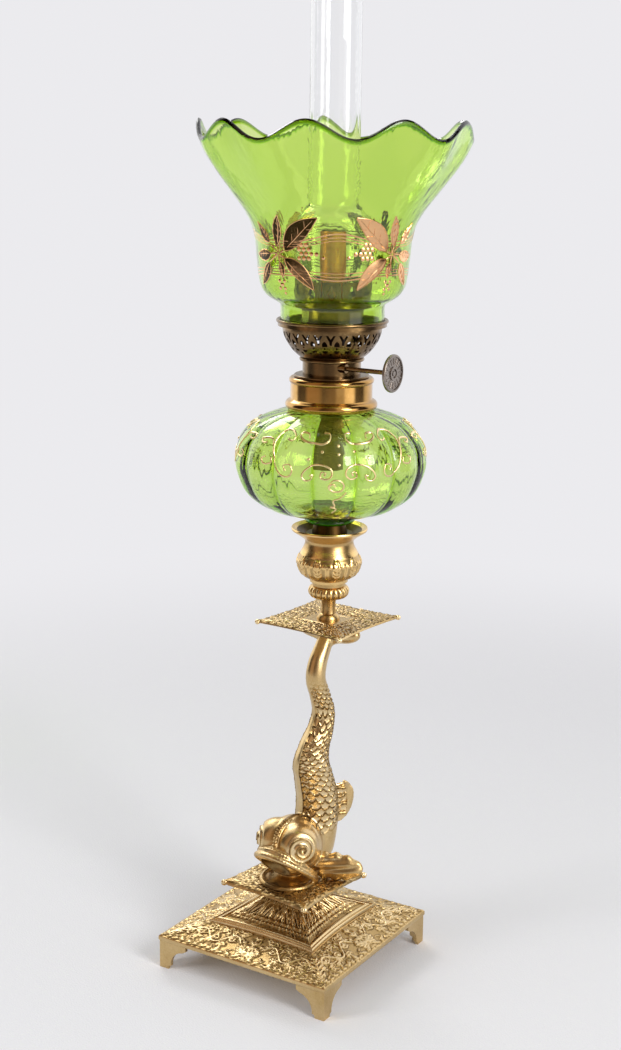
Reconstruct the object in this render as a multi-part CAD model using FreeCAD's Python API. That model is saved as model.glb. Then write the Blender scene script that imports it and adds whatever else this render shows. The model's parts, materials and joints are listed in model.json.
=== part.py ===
"""Peg oil lamp: a cast brass dolphin candlestick that carries a glass lamp on a peg.

Millimetres, +Z up. The origin is on the table, under the middle of the whole lamp's outline.
The candlestick stands on a square base on four bracket feet. A fish stands head down on a cushion
plate and holds a square drip plate and a candle socket on its tail. The peg lamp drops into the
socket: a lobed glass font, a collar, a round-wick burner with a pierced gallery, a chimney and a
ruffled shade. The fish looks towards -Y and the wick knob points to +X.
"""
import FreeCAD, Part
import math
import os

os.makedirs("parts", exist_ok=True)
Vec = FreeCAD.Vector
UP = Vec(0, 0, 1)

# General clearances and cutting overrun
seat_gap = 0.3          # between bodies that lift apart
run_gap = 0.06          # round a turning shaft
overrun = 2.0           # a cut runs this far past the piece

# Square base
base_side = 120.0
base_edge_height = 21.0         # table to the top of the outer edge
base_band = 3.4                 # depth of the plain band round the edge
base_wall = 2.6
base_field_rise = 5.6           # from the edge up to the moulding
moulding_side = 74.0
moulding_width = 5.2
moulding_height = 2.6
mound_rise = 14.8               # from the moulding up to the cushion's seat
mound_top_side = 23.0
side_bow = 2.5                  # how far the raised square's sides draw in
foot_width = 19.5
foot_toe = 6.4
foot_plate = 2.2
foot_step = 2.1                 # height of the toe's step

# Cushion plate, drip plate and the screw through them
plate_side = 63.4
plate_bow = 1.7
tassel_r = 1.9
cushion_height = 8.0
drip_plate_thickness = 1.6
column_turn = -4.5              # degrees that the column is turned on its screw
screw_r = 2.5
screw_gap = 0.2
washer_r = 8.0
washer_thickness = 1.2
nut_across = 10.0
nut_height = 5.0
screw_tail = 1.5                # the screw shows this far under the nut

# Fish
column_height = 157.6
socket_set_back = 31.8          # from the base's middle back to the socket's axis
girth_r = 13.2
skull_width = 35.0
skull_length = 38.0
skull_height = 39.0
skull_set_forward = 2.5
cheek_r = 12.8
cheek_spread = 7.8
cheek_set_forward = 7.5
cheek_lift = 24.5
crest_thickness = 2.0
crest_height = 1.3
mouth_width = 33.0
mouth_reach = 31.5              # the lips' front, from the base's middle
lip_r = 2.1
upper_lip_rise = 14.5           # the upper lip's front over the cushion
upper_lip_end = 2.6             # its corners over the cushion
lower_lip_rise = 2.6            # the lower lip's middle line over the cushion
eye_r = 5.6
eye_ring_r = 0.9
side_fin_length = 33.0
side_fin_width = 13.5
side_fin_thickness = 4.4
side_fin_sweep = 24.0           # degrees back from the side
side_fin_tilt = 28.0            # degrees from upright
back_fin_length = 25.0
back_fin_height = 27.0
back_fin_thickness = 2.4
fluke_span = 42.0
fluke_width = 9.0
fluke_thickness = 5.0

# Socket stem and candle socket
stem_height = 24.1
stem_r = 4.7
knop_r = 12.5
socket_height = 33.7
socket_r = 19.4
socket_rim_r = 23.1
socket_bore_r = 11.7
socket_bore_depth = 26.0
socket_dish_depth = 5.3
spigot_r = 2.2
spigot_length = 7.0             # into the fish's tail

# Peg and its plaster
peg_length = 22.0
peg_taper = 1.9                 # the peg's lower end is this much smaller in radius
peg_wall = 1.3
peg_flange_r = 14.0
peg_flange_thickness = 1.6
peg_cement_wall = 0.9

# Glass font
font_r = 57.5
font_height = 64.2
font_foot_r = 15.1
font_foot_height = 5.0
font_foot_lift = 3.2            # the glass foot over the socket's rim
font_wall = 2.6
font_lobes = 14
font_lobe_depth = 2.3
font_lobe_phase = -94.5         # degrees, where one valley lies
font_neck_r = 21.0
font_neck_wall = 3.4
font_neck_height = 10.5

# Font collar and its plaster
collar_height = 19.0
collar_r = 24.3
collar_bead_r = 27.4
collar_bead_height = 6.4
collar_wall = 0.9
collar_thread_r = 17.9
collar_cement_lip = 1.3

# Burner
burner_thread_r = 17.6
burner_thread_depth = 7.5
burner_wall = 0.9
burner_flange_r = 22.4
burner_flange_thickness = 1.5
neck_r = 17.3
neck_height = 8.5
neck_lip_r = 19.2
neck_lip_height = 1.6
basket_height = 18.1
basket_top_r = 29.4
basket_wall = 0.9
basket_repeats = 24
gallery_rim_r = 33.1
gallery_rim_height = 4.4
gallery_bead_r = 1.0
gallery_shelf_thickness = 0.9
drum_r = 18.2
drum_height = 11.0
crown_r = 22.9
crown_wall = 0.8
crown_height = 13.4
crown_flare = 3.0
crown_slots = 12
air_plate_thickness = 0.8
air_holes = 16
air_hole_r = 1.5

# Round wick and its tubes
wick_tube_r = 7.6
wick_tube_wall = 0.5
wick_tube_height = 93.0
inner_tube_r = 5.3
inner_tube_wall = 0.4
wick_inner_r = 5.6
wick_outer_r = 6.9
wick_length = 142.0
wick_slit = 3.6
wick_show = 1.2                 # the wick stands this far out of its tube
tube_web = 1.0

# Wick spindle
spindle_r = 1.35
spindle_over_flange = 5.5
spindle_reach = 48.4            # from the lamp's axis to the knob's outer face
knob_r = 11.0
knob_thickness = 2.2
knob_petals = 16
sprocket_r = 3.4
sprocket_thickness = 1.0
sprocket_teeth = 10
sprocket_spread = 2.4
bush_r = 2.6
bush_length = 5.0

# Chimney
chimney_height = 245.0
chimney_foot_r = 21.6
chimney_tube_r = 14.7
chimney_wall = 1.7
chimney_waist = 46.0            # from the foot up to the draw-in
chimney_draw_in = 13.0

# Shade
shade_neck_r = 30.5
shade_neck_height = 11.2
shade_height = 110.6            # bottom to the rim's mean height
shade_r = 79.4
shade_wall = 2.4
shade_ruffles = 9
shade_ruffle_rise = 5.2
shade_ruffle_phase = 10.0       # degrees, where one peak lies

# Heights of the pieces over the table, each from the piece under it
field_z = base_edge_height
moulding_z = field_z + base_field_rise
mound_z = moulding_z + moulding_height
cushion_z = mound_z + mound_rise
fish_z = cushion_z + cushion_height
drip_z = fish_z + column_height
stem_z = drip_z + drip_plate_thickness
socket_z = stem_z + stem_height
socket_rim_z = socket_z + socket_height
dish_z = socket_rim_z - socket_dish_depth
font_foot_z = socket_rim_z + font_foot_lift
font_z = font_foot_z + font_foot_height
font_top_z = font_z + font_height
collar_z = font_top_z
collar_top_z = collar_z + collar_height
flange_z = collar_top_z + burner_flange_thickness
neck_top_z = flange_z + neck_height
basket_z = neck_top_z + neck_lip_height
gallery_z = basket_z + basket_height
drum_top_z = gallery_z + drum_height
crown_z = drum_top_z + crown_flare
crown_top_z = crown_z + crown_height
spindle_z = flange_z + spindle_over_flange
tube_foot_z = collar_top_z - burner_thread_depth
tube_top_z = tube_foot_z + wick_tube_height
wick_top_z = tube_top_z + wick_show
chimney_z = crown_z + crown_wall
shade_z = gallery_z + gallery_shelf_thickness

# Places in plan: the socket's axis behind the base's middle, the origin under the whole outline
half_base = base_side / 2
half_moulding = moulding_side / 2
half_plate = plate_side / 2
lean = math.radians(column_turn)
socket_from_base = Vec(-socket_set_back * math.sin(lean), socket_set_back * math.cos(lean), 0)
middle_y = (socket_from_base.y + shade_r - half_base) / 2
base_place = Vec(-socket_from_base.x, -middle_y, 0)
lamp_place = base_place + socket_from_base
spindle_y = -(wick_outer_r + sprocket_r)


def save(name, shape, place, turn=0):
    """Write one node: the shape turned about its own upright axis, then moved to its place."""
    moved = shape.copy()
    moved.rotate(Vec(0, 0, 0), UP, turn)
    moved.translate(place)
    moved.exportStep("parts/" + name + ".step")
    print(name, moved.isValid(), len(moved.Solids), round(moved.Volume, 1))


def save_on_lamp(name, shape):
    """A piece of the lamp, modelled about the socket's axis."""
    save(name, shape, lamp_place)


def save_on_column(name, shape):
    """A piece of the column, modelled about the base's middle and turned with the column."""
    save(name, shape, base_place, column_turn)


def line(start, end):
    """Straight edge."""
    return Part.LineSegment(start, end).toShape()


def arc(start, middle, end):
    """Round edge through three points."""
    return Part.Arc(start, middle, end).toShape()


def outline(start, steps):
    """Closed face in radius and height: one point in a step is a line, two an arc, more a curve."""
    edges = []
    here = Vec(start[0], 0, start[1])
    for step in steps:
        points = [Vec(radius, 0, height) for radius, height in step]
        if len(points) == 1:
            edges.append(line(here, points[0]))
        elif len(points) == 2:
            edges.append(arc(here, points[0], points[1]))
        else:
            curve = Part.BSplineCurve()
            curve.interpolate([here] + points)
            edges.append(curve.toShape())
        here = points[-1]
    return Part.Face(Part.Wire(edges))


def spun(start, steps):
    """The outline turned round the upright axis."""
    return outline(start, steps).revolve(Vec(0, 0, 0), UP, 360)


def tube(outer_r, inner_r, low, high):
    """Plain upright tube between two heights."""
    height = high - low
    body = Part.makeCylinder(outer_r, height, Vec(0, 0, low))
    return body.cut(Part.makeCylinder(inner_r, height, Vec(0, 0, low)))


def rod(radius, low, high):
    """Plain upright cylinder between two heights."""
    return Part.makeCylinder(radius, high - low, Vec(0, 0, low))


def cross_rod(radius, start_x, end_x, y, z):
    """Cylinder along X."""
    return Part.makeCylinder(radius, end_x - start_x, Vec(start_x, y, z), Vec(1, 0, 0))


def block(x0, x1, y0, y1, z0, z1):
    """Box between two corners."""
    return Part.makeBox(x1 - x0, y1 - y0, z1 - z0, Vec(x0, y0, z0))


def about_axis(shape, count, phase=0):
    """Copies of the shape round the upright axis."""
    copies = []
    for step in range(count):
        turned = shape.copy()
        turned.rotate(Vec(0, 0, 0), UP, phase + 360 * step / count)
        copies.append(turned)
    return copies


def square(half, bow, height):
    """Square ring of four sides, each drawn in at its middle by the bow."""
    corners = [Vec(sx * half, sy * half, height) for sx, sy in ((-1, -1), (1, -1), (1, 1), (-1, 1))]
    sides = []
    for start, end in zip(corners, corners[1:] + corners[:1]):
        middle = (start + end) * 0.5
        if bow:
            inward = Vec(-middle.x, -middle.y, 0).normalize()
            sides.append(arc(start, middle + inward * bow, end))
        else:
            sides.append(line(start, end))
    return Part.Wire(sides)


def square_stack(rows, ruled=True):
    """Solid through square rings given as half side, bow and height."""
    return Part.makeLoft([square(half, bow, height) for half, bow, height in rows], True, ruled)


def waved_ring(radius, height, lobes, phase, swing=0, rise=0):
    """Closed ring whose radius swings and whose height rises with each lobe, by a cosine."""
    points = []
    steps = lobes * 4
    for step in range(steps):
        angle = 2 * math.pi * step / steps + math.radians(phase)
        wave = math.cos(2 * math.pi * step * lobes / steps)
        reach = radius + swing * wave
        points.append(Vec(reach * math.cos(angle), reach * math.sin(angle), height + rise * wave))
    curve = Part.BSplineCurve()
    curve.interpolate(Points=points, PeriodicFlag=True)
    return Part.Wire([curve.toShape()])


def fused(first, *others):
    """One solid of touching or crossing solids."""
    body = first.fuse(list(others)).removeSplitter()
    return body.Solids[0] if len(body.Solids) == 1 else body


# Square base
def base_top():
    """Band, sloping field and double moulding, solid."""
    moulding_shares = (  # way in across the moulding, height
        (0.0, 0.0), (0.17, 0.8), (0.33, 0.4), (0.83, 1.0), (1.0, 0.7))
    band_low = field_z - base_band
    rounding = base_band / 4
    rows = [(half_base - rounding, 0, band_low), (half_base, 0, band_low + rounding),
            (half_base, 0, field_z - rounding), (half_base - rounding, 0, field_z)]
    for inward, height in moulding_shares:
        rows.append((half_moulding - moulding_width * inward, side_bow,
                     moulding_z + moulding_height * height))
    return square_stack(rows)


def mound():
    """Concave mound from inside the moulding up to the cushion's seat."""
    mound_shares = ((1.0, 0.0), (0.56, 0.22), (0.19, 0.6), (0.0, 1.0))  # way out, way up
    low_z = mound_z - moulding_height * 0.3
    top = mound_top_side / 2
    inside = half_moulding - moulding_width
    rows = [(top + (inside - top) * out, side_bow * (1 + out * 2) / 3, low_z + (cushion_z - low_z) * up)
            for out, up in mound_shares]
    return square_stack(rows, False)


def base_casting():
    """Hollow square casting: band, sloping field, double moulding and a mound under the cushion."""
    band_low = field_z - base_band
    inside = half_moulding - moulding_width
    hollow = square_stack([
        (half_base - base_wall, 0, band_low - overrun), (half_base - base_wall, 0, field_z - base_wall),
        (half_moulding, 0, moulding_z - base_wall), (inside - base_wall, 0, moulding_z - base_wall / 2),
        (mound_top_side / 2 + base_wall, 0, washer_top())])
    hole = rod(screw_r + screw_gap, band_low, cushion_z + overrun)
    return fused(base_top(), mound()).cut(hollow).cut(hole)


def bracket_foot():
    """Corner bracket of two thin wings, cut to an ogee with a small toe step."""
    top = field_z - base_band
    wing = outline((0, 0), [
        ((foot_toe, 0),), ((foot_toe, foot_step * 0.8),), ((foot_toe * 1.3, foot_step * 1.2),),
        ((foot_width * 0.5, top * 0.48), (foot_width * 0.87, top * 0.76)),
        ((foot_width, top * 0.84),), ((foot_width, top),), ((0, top),), ((0, 0),)])
    along_x = wing.extrude(Vec(0, foot_plate, 0))
    along_y = along_x.mirror(Vec(0, 0, 0), Vec(1, -1, 0))
    corner = fused(along_x, along_y)
    corner.translate(Vec(-half_base + foot_plate / 4, -half_base + foot_plate / 4, 0))
    return corner


# Plates
def plate_rows(plate_shares, low_z, rise):
    """Square rings of a plate, from shares of its half side, with its bow, and of its rise."""
    return [(half_plate * out, plate_bow * out, low_z + rise * up) for out, up in plate_shares]


def tassels(height):
    """A small knob at each tip of a plate."""
    reach = half_plate - tassel_r / 2
    knob = Part.makeSphere(tassel_r, Vec(reach, reach, height))
    return about_axis(knob, 4)


def cushion_plate():
    """Cushion under the fish: a domed underside that rises to thin tips, and a flat top."""
    under_shares = ((0.62, 0.22), (0.86, 0.5), (1.0, 0.78))
    rim_shares = ((1.0, 0.78), (0.99, 0.9), (0.95, 1.0))
    seat = (mound_top_side / 2, side_bow / 3, cushion_z)
    under = square_stack([seat] + plate_rows(under_shares, cushion_z, cushion_height))
    rim = square_stack(plate_rows(rim_shares, cushion_z, cushion_height))
    body = fused(under, rim, *tassels(cushion_z + cushion_height * 0.82))
    return body.cut(rod(screw_r + screw_gap, cushion_z - overrun, fish_z + overrun))


def drip_plate():
    """Thin square plate with a low rim, drawn-in sides and knobs at its tips."""
    rim_shares = ((0.97, 0.0), (1.0, 0.4), (1.0, 0.8), (0.97, 1.0))
    rise = drip_plate_thickness
    plate = square_stack(plate_rows(rim_shares, drip_z, rise))
    room = block(-plate_side, plate_side, -plate_side, plate_side, drip_z, stem_z + rise * 0.6)
    body = fused(plate, *[tip.common(room) for tip in tassels(drip_z + rise / 2)])
    body = body.cut(rod(spigot_r + screw_gap, drip_z - overrun, stem_z + overrun))
    body.translate(Vec(0, socket_set_back, 0))
    return body


def base_washer():
    """Washer under the mound."""
    top = washer_top()
    return tube(washer_r, screw_r + screw_gap, top - washer_thickness, top)


def washer_top():
    """Height of the casting's inner roof, which the washer bears on."""
    return mound_z + mound_rise / 4


def base_nut():
    """Square nut on the column's screw."""
    top = washer_top() - washer_thickness
    half = nut_across / 2
    body = block(-half, half, -half, half, top - nut_height, top)
    return body.cut(rod(screw_r, top - nut_height, top))


# Fish
def body_path():
    """Middle points and radii of the fish's body, from the head up to the tail."""
    path_shares = (  # height, set-back, radius
        (0.10, 0.60, 1.00), (0.20, 0.70, 1.02), (0.30, 0.71, 0.98), (0.385, 0.60, 0.90),
        (0.45, 0.51, 0.84), (0.51, 0.60, 0.70), (0.575, 0.80, 0.60), (0.64, 0.885, 0.535),
        (0.71, 0.77, 0.49), (0.785, 0.62, 0.465), (0.85, 0.68, 0.44), (0.915, 0.87, 0.38),
        (0.96, 0.98, 0.345), (1.0, 1.0, 0.34))
    return [(Vec(0, socket_set_back * back, fish_z + column_height * height), girth_r * radius)
            for height, back, radius in path_shares]


def fish_body():
    """Smooth loft through rings square to the body's S-shaped middle line."""
    path = body_path()
    rings = []
    side = Vec(1, 0, 0)
    for index, (middle, radius) in enumerate(path):
        before = path[max(index - 1, 0)][0]
        after = path[min(index + 1, len(path) - 1)][0]
        heading = UP if index == len(path) - 1 else (after - before).normalize()
        back = heading.cross(side)
        circle = Part.Circle(middle + side * radius, middle + back * radius, middle - side * radius)
        rings.append(Part.Wire(circle.toShape()))
    return Part.makeLoft(rings, True, False)


def ellipsoid(width, length, height, middle):
    """Ball stretched to three sizes."""
    matrix = FreeCAD.Matrix()
    matrix.scale(Vec(width / 2, length / 2, height / 2))
    ball = Part.makeSphere(1).transformGeometry(matrix)
    ball.translate(middle)
    return ball


def fish_skull():
    """Skull with two round cheeks and the crest between them."""
    skull_z = fish_z + skull_height / 2
    cheek_z = fish_z + cheek_lift
    skull = ellipsoid(skull_width, skull_length, skull_height, Vec(0, -skull_set_forward, skull_z))
    cheeks = [Part.makeSphere(cheek_r, Vec(side * cheek_spread, -cheek_set_forward, cheek_z))
              for side in (-1, 1)]
    crest_start = Vec(-crest_thickness / 2, -cheek_set_forward, cheek_z)
    crest = Part.makeCylinder(cheek_r + crest_height, crest_thickness, crest_start, Vec(1, 0, 0))
    return [skull] + cheeks + [crest]


def lip(front_rise, corner_rise):
    """Half ring from one corner of the mouth round its front to the other, sloping up to the front."""
    half = mouth_width / 2
    corner_y = -cheek_set_forward + half / 2
    front = Vec(0, -mouth_reach + lip_r, fish_z + front_rise)
    corner = Vec(half, corner_y, fish_z + corner_rise)
    other = Vec(-half, corner_y, fish_z + corner_rise)
    path = Part.Wire([arc(other, front, corner)])
    heading = path.Edges[0].tangentAt(path.Edges[0].FirstParameter)
    section = Part.Wire(Part.Circle(other, heading, lip_r).toShape())
    roll = path.makePipeShell([section], True, False)
    return fused(roll, *[Part.makeSphere(lip_r, end) for end in (corner, other)])


def fish_jaws():
    """Lower jaw on the cushion and the snout behind the upper lip."""
    rise = upper_lip_rise
    jaw = ellipsoid(mouth_width, mouth_reach * 1.5, rise, Vec(0, -mouth_reach * 0.26, fish_z + lip_r))
    floor = block(-base_side, base_side, -base_side, base_side, fish_z, fish_z + rise * 0.42)
    snout_middle = Vec(0, -mouth_reach * 0.22, fish_z + rise * 1.05)
    snout = ellipsoid(mouth_width * 0.9, mouth_reach * 1.5, rise * 1.35, snout_middle)
    return [jaw.common(floor), snout]


def eye(side):
    """Raised ring on the cheek's outer side and the pupil inside it."""
    ring_r = eye_r - eye_ring_r
    ring_x = cheek_spread + math.sqrt(cheek_r ** 2 - ring_r ** 2)
    pupil_x = cheek_spread + cheek_r - eye_ring_r * 2
    cheek_z = fish_z + cheek_lift
    ring_middle = Vec(side * ring_x, -cheek_set_forward, cheek_z)
    ring = Part.makeTorus(ring_r, eye_ring_r, ring_middle, Vec(1, 0, 0))
    pupil = Part.makeSphere(ring_r / 2, Vec(side * pupil_x, -cheek_set_forward, cheek_z))
    return [ring, pupil]


def side_fin(side):
    """Paddle fin lying out over the cushion, swept back."""
    root = skull_width * 0.22
    middle = Vec(root + side_fin_length / 2, 0, fish_z + side_fin_width / 2)
    paddle = ellipsoid(side_fin_length, side_fin_thickness, side_fin_width, middle)
    paddle.rotate(Vec(root, 0, fish_z), Vec(1, 0, 0), side_fin_tilt)
    paddle.rotate(Vec(root, 0, fish_z), UP, side_fin_sweep)
    paddle.translate(Vec(0, girth_r / 2, side_fin_thickness / 3))
    if side < 0:
        paddle = paddle.mirror(Vec(0, 0, 0), Vec(1, 0, 0))
    return paddle


def back_fin():
    """Leaf-shaped fin on the fish's back, in its middle plane."""
    root_y = socket_set_back * 0.66 + girth_r * 0.5
    low = fish_z + column_height * 0.155
    reach = girth_r / 2 + back_fin_length
    high = back_fin_height
    root_low = Vec(0, root_y, low)
    root_top = Vec(0, root_y, low + high * 0.8)
    tip = Vec(0, root_y + reach * 0.7, low + high)
    leaf = Part.Face(Part.Wire([
        line(root_low, root_top),
        arc(root_top, Vec(0, root_y + reach * 0.5, low + high * 0.78), tip),
        arc(tip, Vec(0, root_y + reach, low + high * 0.42), root_low)]))
    body = leaf.extrude(Vec(back_fin_thickness, 0, 0))
    body.translate(Vec(-back_fin_thickness / 2, 0, 0))
    return body


def tail_flukes():
    """Two flukes that spread and rise to the drip plate."""
    fluke_shares = (  # way out, middle's drop, size
        (0, 1.5, 0.7), (0.35, 1.1, 0.62), (0.7, 0.62, 0.85), (1.0, 0.35, 0.6))
    flukes = []
    for side in (-1, 1):
        rings = []
        for out, drop, size in fluke_shares:
            middle = Vec(side * fluke_span / 2 * out, socket_set_back, drip_z - fluke_width * drop)
            edge = Part.Ellipse(middle, fluke_width / 2 * size, fluke_thickness / 2 * size).toShape()
            edge.rotate(middle, Vec(1, 0, 0), 90)
            edge.rotate(middle, UP, 90)
            rings.append(Part.Wire(edge))
        flukes.append(Part.makeLoft(rings, True, False))
    return flukes


def dolphin():
    """The whole cast fish with its screw below and its tapped tail above."""
    lips = [lip(upper_lip_rise, upper_lip_end), lip(lower_lip_rise, lower_lip_rise)]
    fins = [side_fin(-1), side_fin(1), back_fin()] + tail_flukes()
    body = fish_body().fuse(fish_skull() + fish_jaws() + lips + fins + eye(-1) + eye(1))
    body = body.common(block(-base_side, base_side, -base_side, base_side, fish_z, drip_z))
    screw_end = washer_top() - washer_thickness - nut_height - screw_tail
    screw = rod(screw_r, screw_end, fish_z + skull_height / 2)
    tapped_hole = rod(spigot_r, drip_z - spigot_length, drip_z)
    tapped_hole.translate(Vec(0, socket_set_back, 0))
    return body.fuse(screw).removeSplitter().cut(tapped_hole)


# Socket
def socket_stem():
    """Turned stem: foot, thin neck, round knop, and a screwed spigot into the fish's tail."""
    high = stem_height
    knop_z = stem_z + high * 0.83
    spigot_end = drip_z - spigot_length
    return spun((0, spigot_end), [
        ((spigot_r, spigot_end),), ((spigot_r, stem_z),), ((stem_r * 1.5, stem_z),),
        ((stem_r * 1.45, stem_z + high * 0.06), (stem_r, stem_z + high * 0.16)),
        ((stem_r * 0.92, stem_z + high * 0.35), (stem_r * 1.05, stem_z + high * 0.55)),
        ((knop_r * 0.85, stem_z + high * 0.6),),
        ((knop_r, knop_z - high * 0.06), (knop_r * 0.8, knop_z + high * 0.07)),
        ((knop_r * 0.8, socket_z),), ((0, socket_z),), ((0, spigot_end),)])


def candle_socket():
    """Urn with a belly, a drawn-in throat, a flared dished rim and the candle bore."""
    high = socket_height
    return spun((0, socket_z), [
        ((knop_r * 0.93, socket_z),), ((knop_r * 0.95, socket_z + high * 0.05),),
        ((socket_r * 0.86, socket_z + high * 0.14), (socket_r, socket_z + high * 0.34),
         (socket_r * 0.93, socket_z + high * 0.5), (socket_r * 0.78, socket_z + high * 0.67),
         (socket_r * 0.78, socket_z + high * 0.78), (socket_rim_r * 0.86, socket_z + high * 0.89)),
        ((socket_rim_r, socket_z + high * 0.95),), ((socket_rim_r, socket_rim_z),),
        ((socket_rim_r * 0.9, socket_rim_z - high * 0.02),),
        ((socket_rim_r * 0.7, dish_z + socket_dish_depth * 0.3), (peg_flange_r + seat_gap, dish_z)),
        ((socket_bore_r, dish_z),), ((socket_bore_r, dish_z - socket_bore_depth),),
        ((0, dish_z - socket_bore_depth),), ((0, socket_z),)])


# Peg and font
def peg():
    """Tapered brass peg with a flange that rests in the socket's dish, cup-shaped inside."""
    top_r = socket_bore_r - seat_gap
    low_z = dish_z - peg_length
    top_z = dish_z + peg_flange_thickness
    cup_r = top_r - peg_taper - peg_wall
    return spun((0, low_z), [
        ((top_r - peg_taper - peg_wall / 2, low_z),), ((top_r - peg_taper, low_z + peg_wall),),
        ((top_r, dish_z),), ((peg_flange_r, dish_z),), ((peg_flange_r, top_z),),
        ((cup_r + peg_wall * 2, top_z),), ((cup_r + peg_wall, font_foot_z - peg_wall / 2),),
        ((cup_r, font_foot_z - peg_wall / 2),), ((cup_r, low_z + peg_wall * 3),),
        ((0, low_z + peg_wall * 3),), ((0, low_z),)])


def peg_sizes():
    """Radius and floor of the peg's cup."""
    return socket_bore_r - seat_gap - peg_taper - peg_wall, dish_z - peg_length + peg_wall * 3


def peg_cement():
    """Plaster between the glass stub and the peg's cup."""
    cup_r, floor_z = peg_sizes()
    stub_r = cup_r - peg_cement_wall
    cup_top = font_foot_z - peg_wall / 2
    return spun((0, floor_z), [
        ((cup_r, floor_z),), ((cup_r, cup_top),), ((cup_r + peg_wall, cup_top),),
        ((cup_r + peg_wall, font_foot_z),), ((stub_r, font_foot_z),), ((stub_r, floor_z + peg_cement_wall),),
        ((0, floor_z + peg_cement_wall),), ((0, floor_z),)])


def font_side(wall):
    """Radius, height and lobe share up the font's side, drawn in by the wall."""
    side_shares = (  # radius, height, lobe
        (0.24, 0.0, 0.0), (0.42, 0.022, 0.25), (0.68, 0.085, 0.6), (0.885, 0.225, 0.9),
        (0.985, 0.42, 1.0), (1.0, 0.56, 1.0), (0.955, 0.72, 0.95), (0.80, 0.875, 0.8),
        (0.58, 0.962, 0.45), (0.385, 1.0, 0.0))
    inside_low = font_z + wall
    inside_height = font_height - wall * 2
    return [(font_r * radius_share - wall, inside_low + inside_height * height_share, lobe_share)
            for radius_share, height_share, lobe_share in side_shares]


def font_bowl():
    """Lobed outside of the reservoir, solid."""
    phase = font_lobe_phase + 180 / font_lobes
    rings = []
    for radius, height, lobe_share in font_side(0):
        swing = font_lobe_depth / 2 * lobe_share
        rings.append(waved_ring(radius - swing, height, font_lobes, phase, swing))
    return Part.makeLoft(rings, True, False)


def font_hollow():
    """Round room for the oil, clear of the lobes' valleys."""
    side = [(radius - font_lobe_depth * 0.75 * lobe_share, height)
            for radius, height, lobe_share in font_side(font_wall)]
    low, high = side[0][1], side[-1][1]
    return spun((0, low), [(side[0],), tuple(side[1:]), ((0, high),), ((0, low),)])


def font_foot():
    """Moulded ring under the font and the solid stub that the peg holds."""
    cup_r, floor_z = peg_sizes()
    stub_r = cup_r - peg_cement_wall
    stub_z = floor_z + peg_cement_wall
    inside_z = font_z + font_wall * 0.3
    ring = font_foot_r
    return spun((0, stub_z), [
        ((stub_r, stub_z),), ((stub_r, font_foot_z),), ((ring * 0.9, font_foot_z),),
        ((ring, font_foot_z + font_foot_height * 0.3), (ring * 0.92, font_foot_z + font_foot_height * 0.7)),
        ((ring * 0.8, inside_z),), ((0, inside_z),), ((0, stub_z),)])


def font_glass():
    """Lobed glass reservoir with its foot, the stub for the peg and the neck for the collar."""
    neck_top = font_top_z + font_neck_height
    neck = rod(font_neck_r, font_top_z - font_wall, neck_top)
    mouth = rod(font_neck_r - font_neck_wall, font_top_z - font_wall * 3, neck_top + overrun)
    return fused(font_bowl(), font_foot(), neck).cut(font_hollow()).cut(mouth)


# Collar
def font_collar():
    """Brass collar: a rolled lower bead, a plain band, an upper bead and the threaded shelf."""
    bead = collar_bead_height
    bead_top = collar_z + bead
    band_top = collar_top_z - bead * 0.55
    cement_r = font_neck_r + collar_cement_lip
    shelf_z = font_top_z + font_neck_height + collar_cement_lip
    return spun((cement_r, collar_z), [
        ((collar_bead_r - bead / 4, collar_z),),
        ((collar_bead_r, collar_z + bead * 0.35), (collar_r + collar_wall, bead_top - collar_wall)),
        ((collar_r, bead_top),), ((collar_r, band_top),),
        ((collar_r + collar_wall, (band_top + collar_top_z) / 2), (collar_r - collar_wall, collar_top_z)),
        ((collar_thread_r, collar_top_z),), ((collar_thread_r, shelf_z),), ((cement_r, shelf_z),),
        ((cement_r, collar_z),)])


def collar_cement():
    """Plaster round the glass neck and over its lip, showing as a thin line under the collar."""
    cement_r = font_neck_r + collar_cement_lip
    neck_top = font_top_z + font_neck_height
    cement_top = neck_top + collar_cement_lip
    return spun((font_neck_r, collar_z), [
        ((cement_r, collar_z),), ((cement_r, cement_top),), ((collar_thread_r, cement_top),),
        ((collar_thread_r, neck_top),), ((font_neck_r, neck_top),), ((font_neck_r, collar_z),)])


# Burner
def burner_skirt():
    """Threaded ring in the collar with the flange that rests on it."""
    inner_r = burner_thread_r - burner_wall
    thread_r = burner_thread_r - seat_gap / 2
    edge_r = burner_flange_r - burner_flange_thickness / 2
    low_z = collar_top_z - burner_thread_depth
    return spun((inner_r, low_z), [
        ((thread_r, low_z),), ((thread_r, collar_top_z),), ((edge_r, collar_top_z),),
        ((burner_flange_r, (collar_top_z + flange_z) / 2), (edge_r, flange_z)),
        ((inner_r - burner_wall, flange_z),), ((inner_r - burner_wall, collar_top_z),),
        ((inner_r, collar_top_z),), ((inner_r, low_z),)])


def spindle_bore(radius):
    """Cut along the spindle."""
    return cross_rod(radius, -neck_r - overrun, neck_r + overrun, spindle_y, spindle_z)


def burner_neck():
    """Drum over the flange with its rolled lip, bored across for the spindle's bushes."""
    drum = spun((neck_r - burner_wall, flange_z), [
        ((neck_r, flange_z),), ((neck_r, neck_top_z),),
        ((neck_lip_r, neck_top_z + neck_lip_height * 0.5), (neck_lip_r - neck_lip_height * 0.5, basket_z)),
        ((neck_r - burner_wall, basket_z),), ((neck_r - burner_wall, flange_z),)])
    return drum.cut(spindle_bore(bush_r))


def spindle_bush():
    """Gland that carries the spindle in the drum's wall on the knob's side."""
    wall_x = math.sqrt(neck_r ** 2 - spindle_y ** 2)
    return bush(wall_x - bush_length / 2, wall_x + bush_length / 2)


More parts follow.
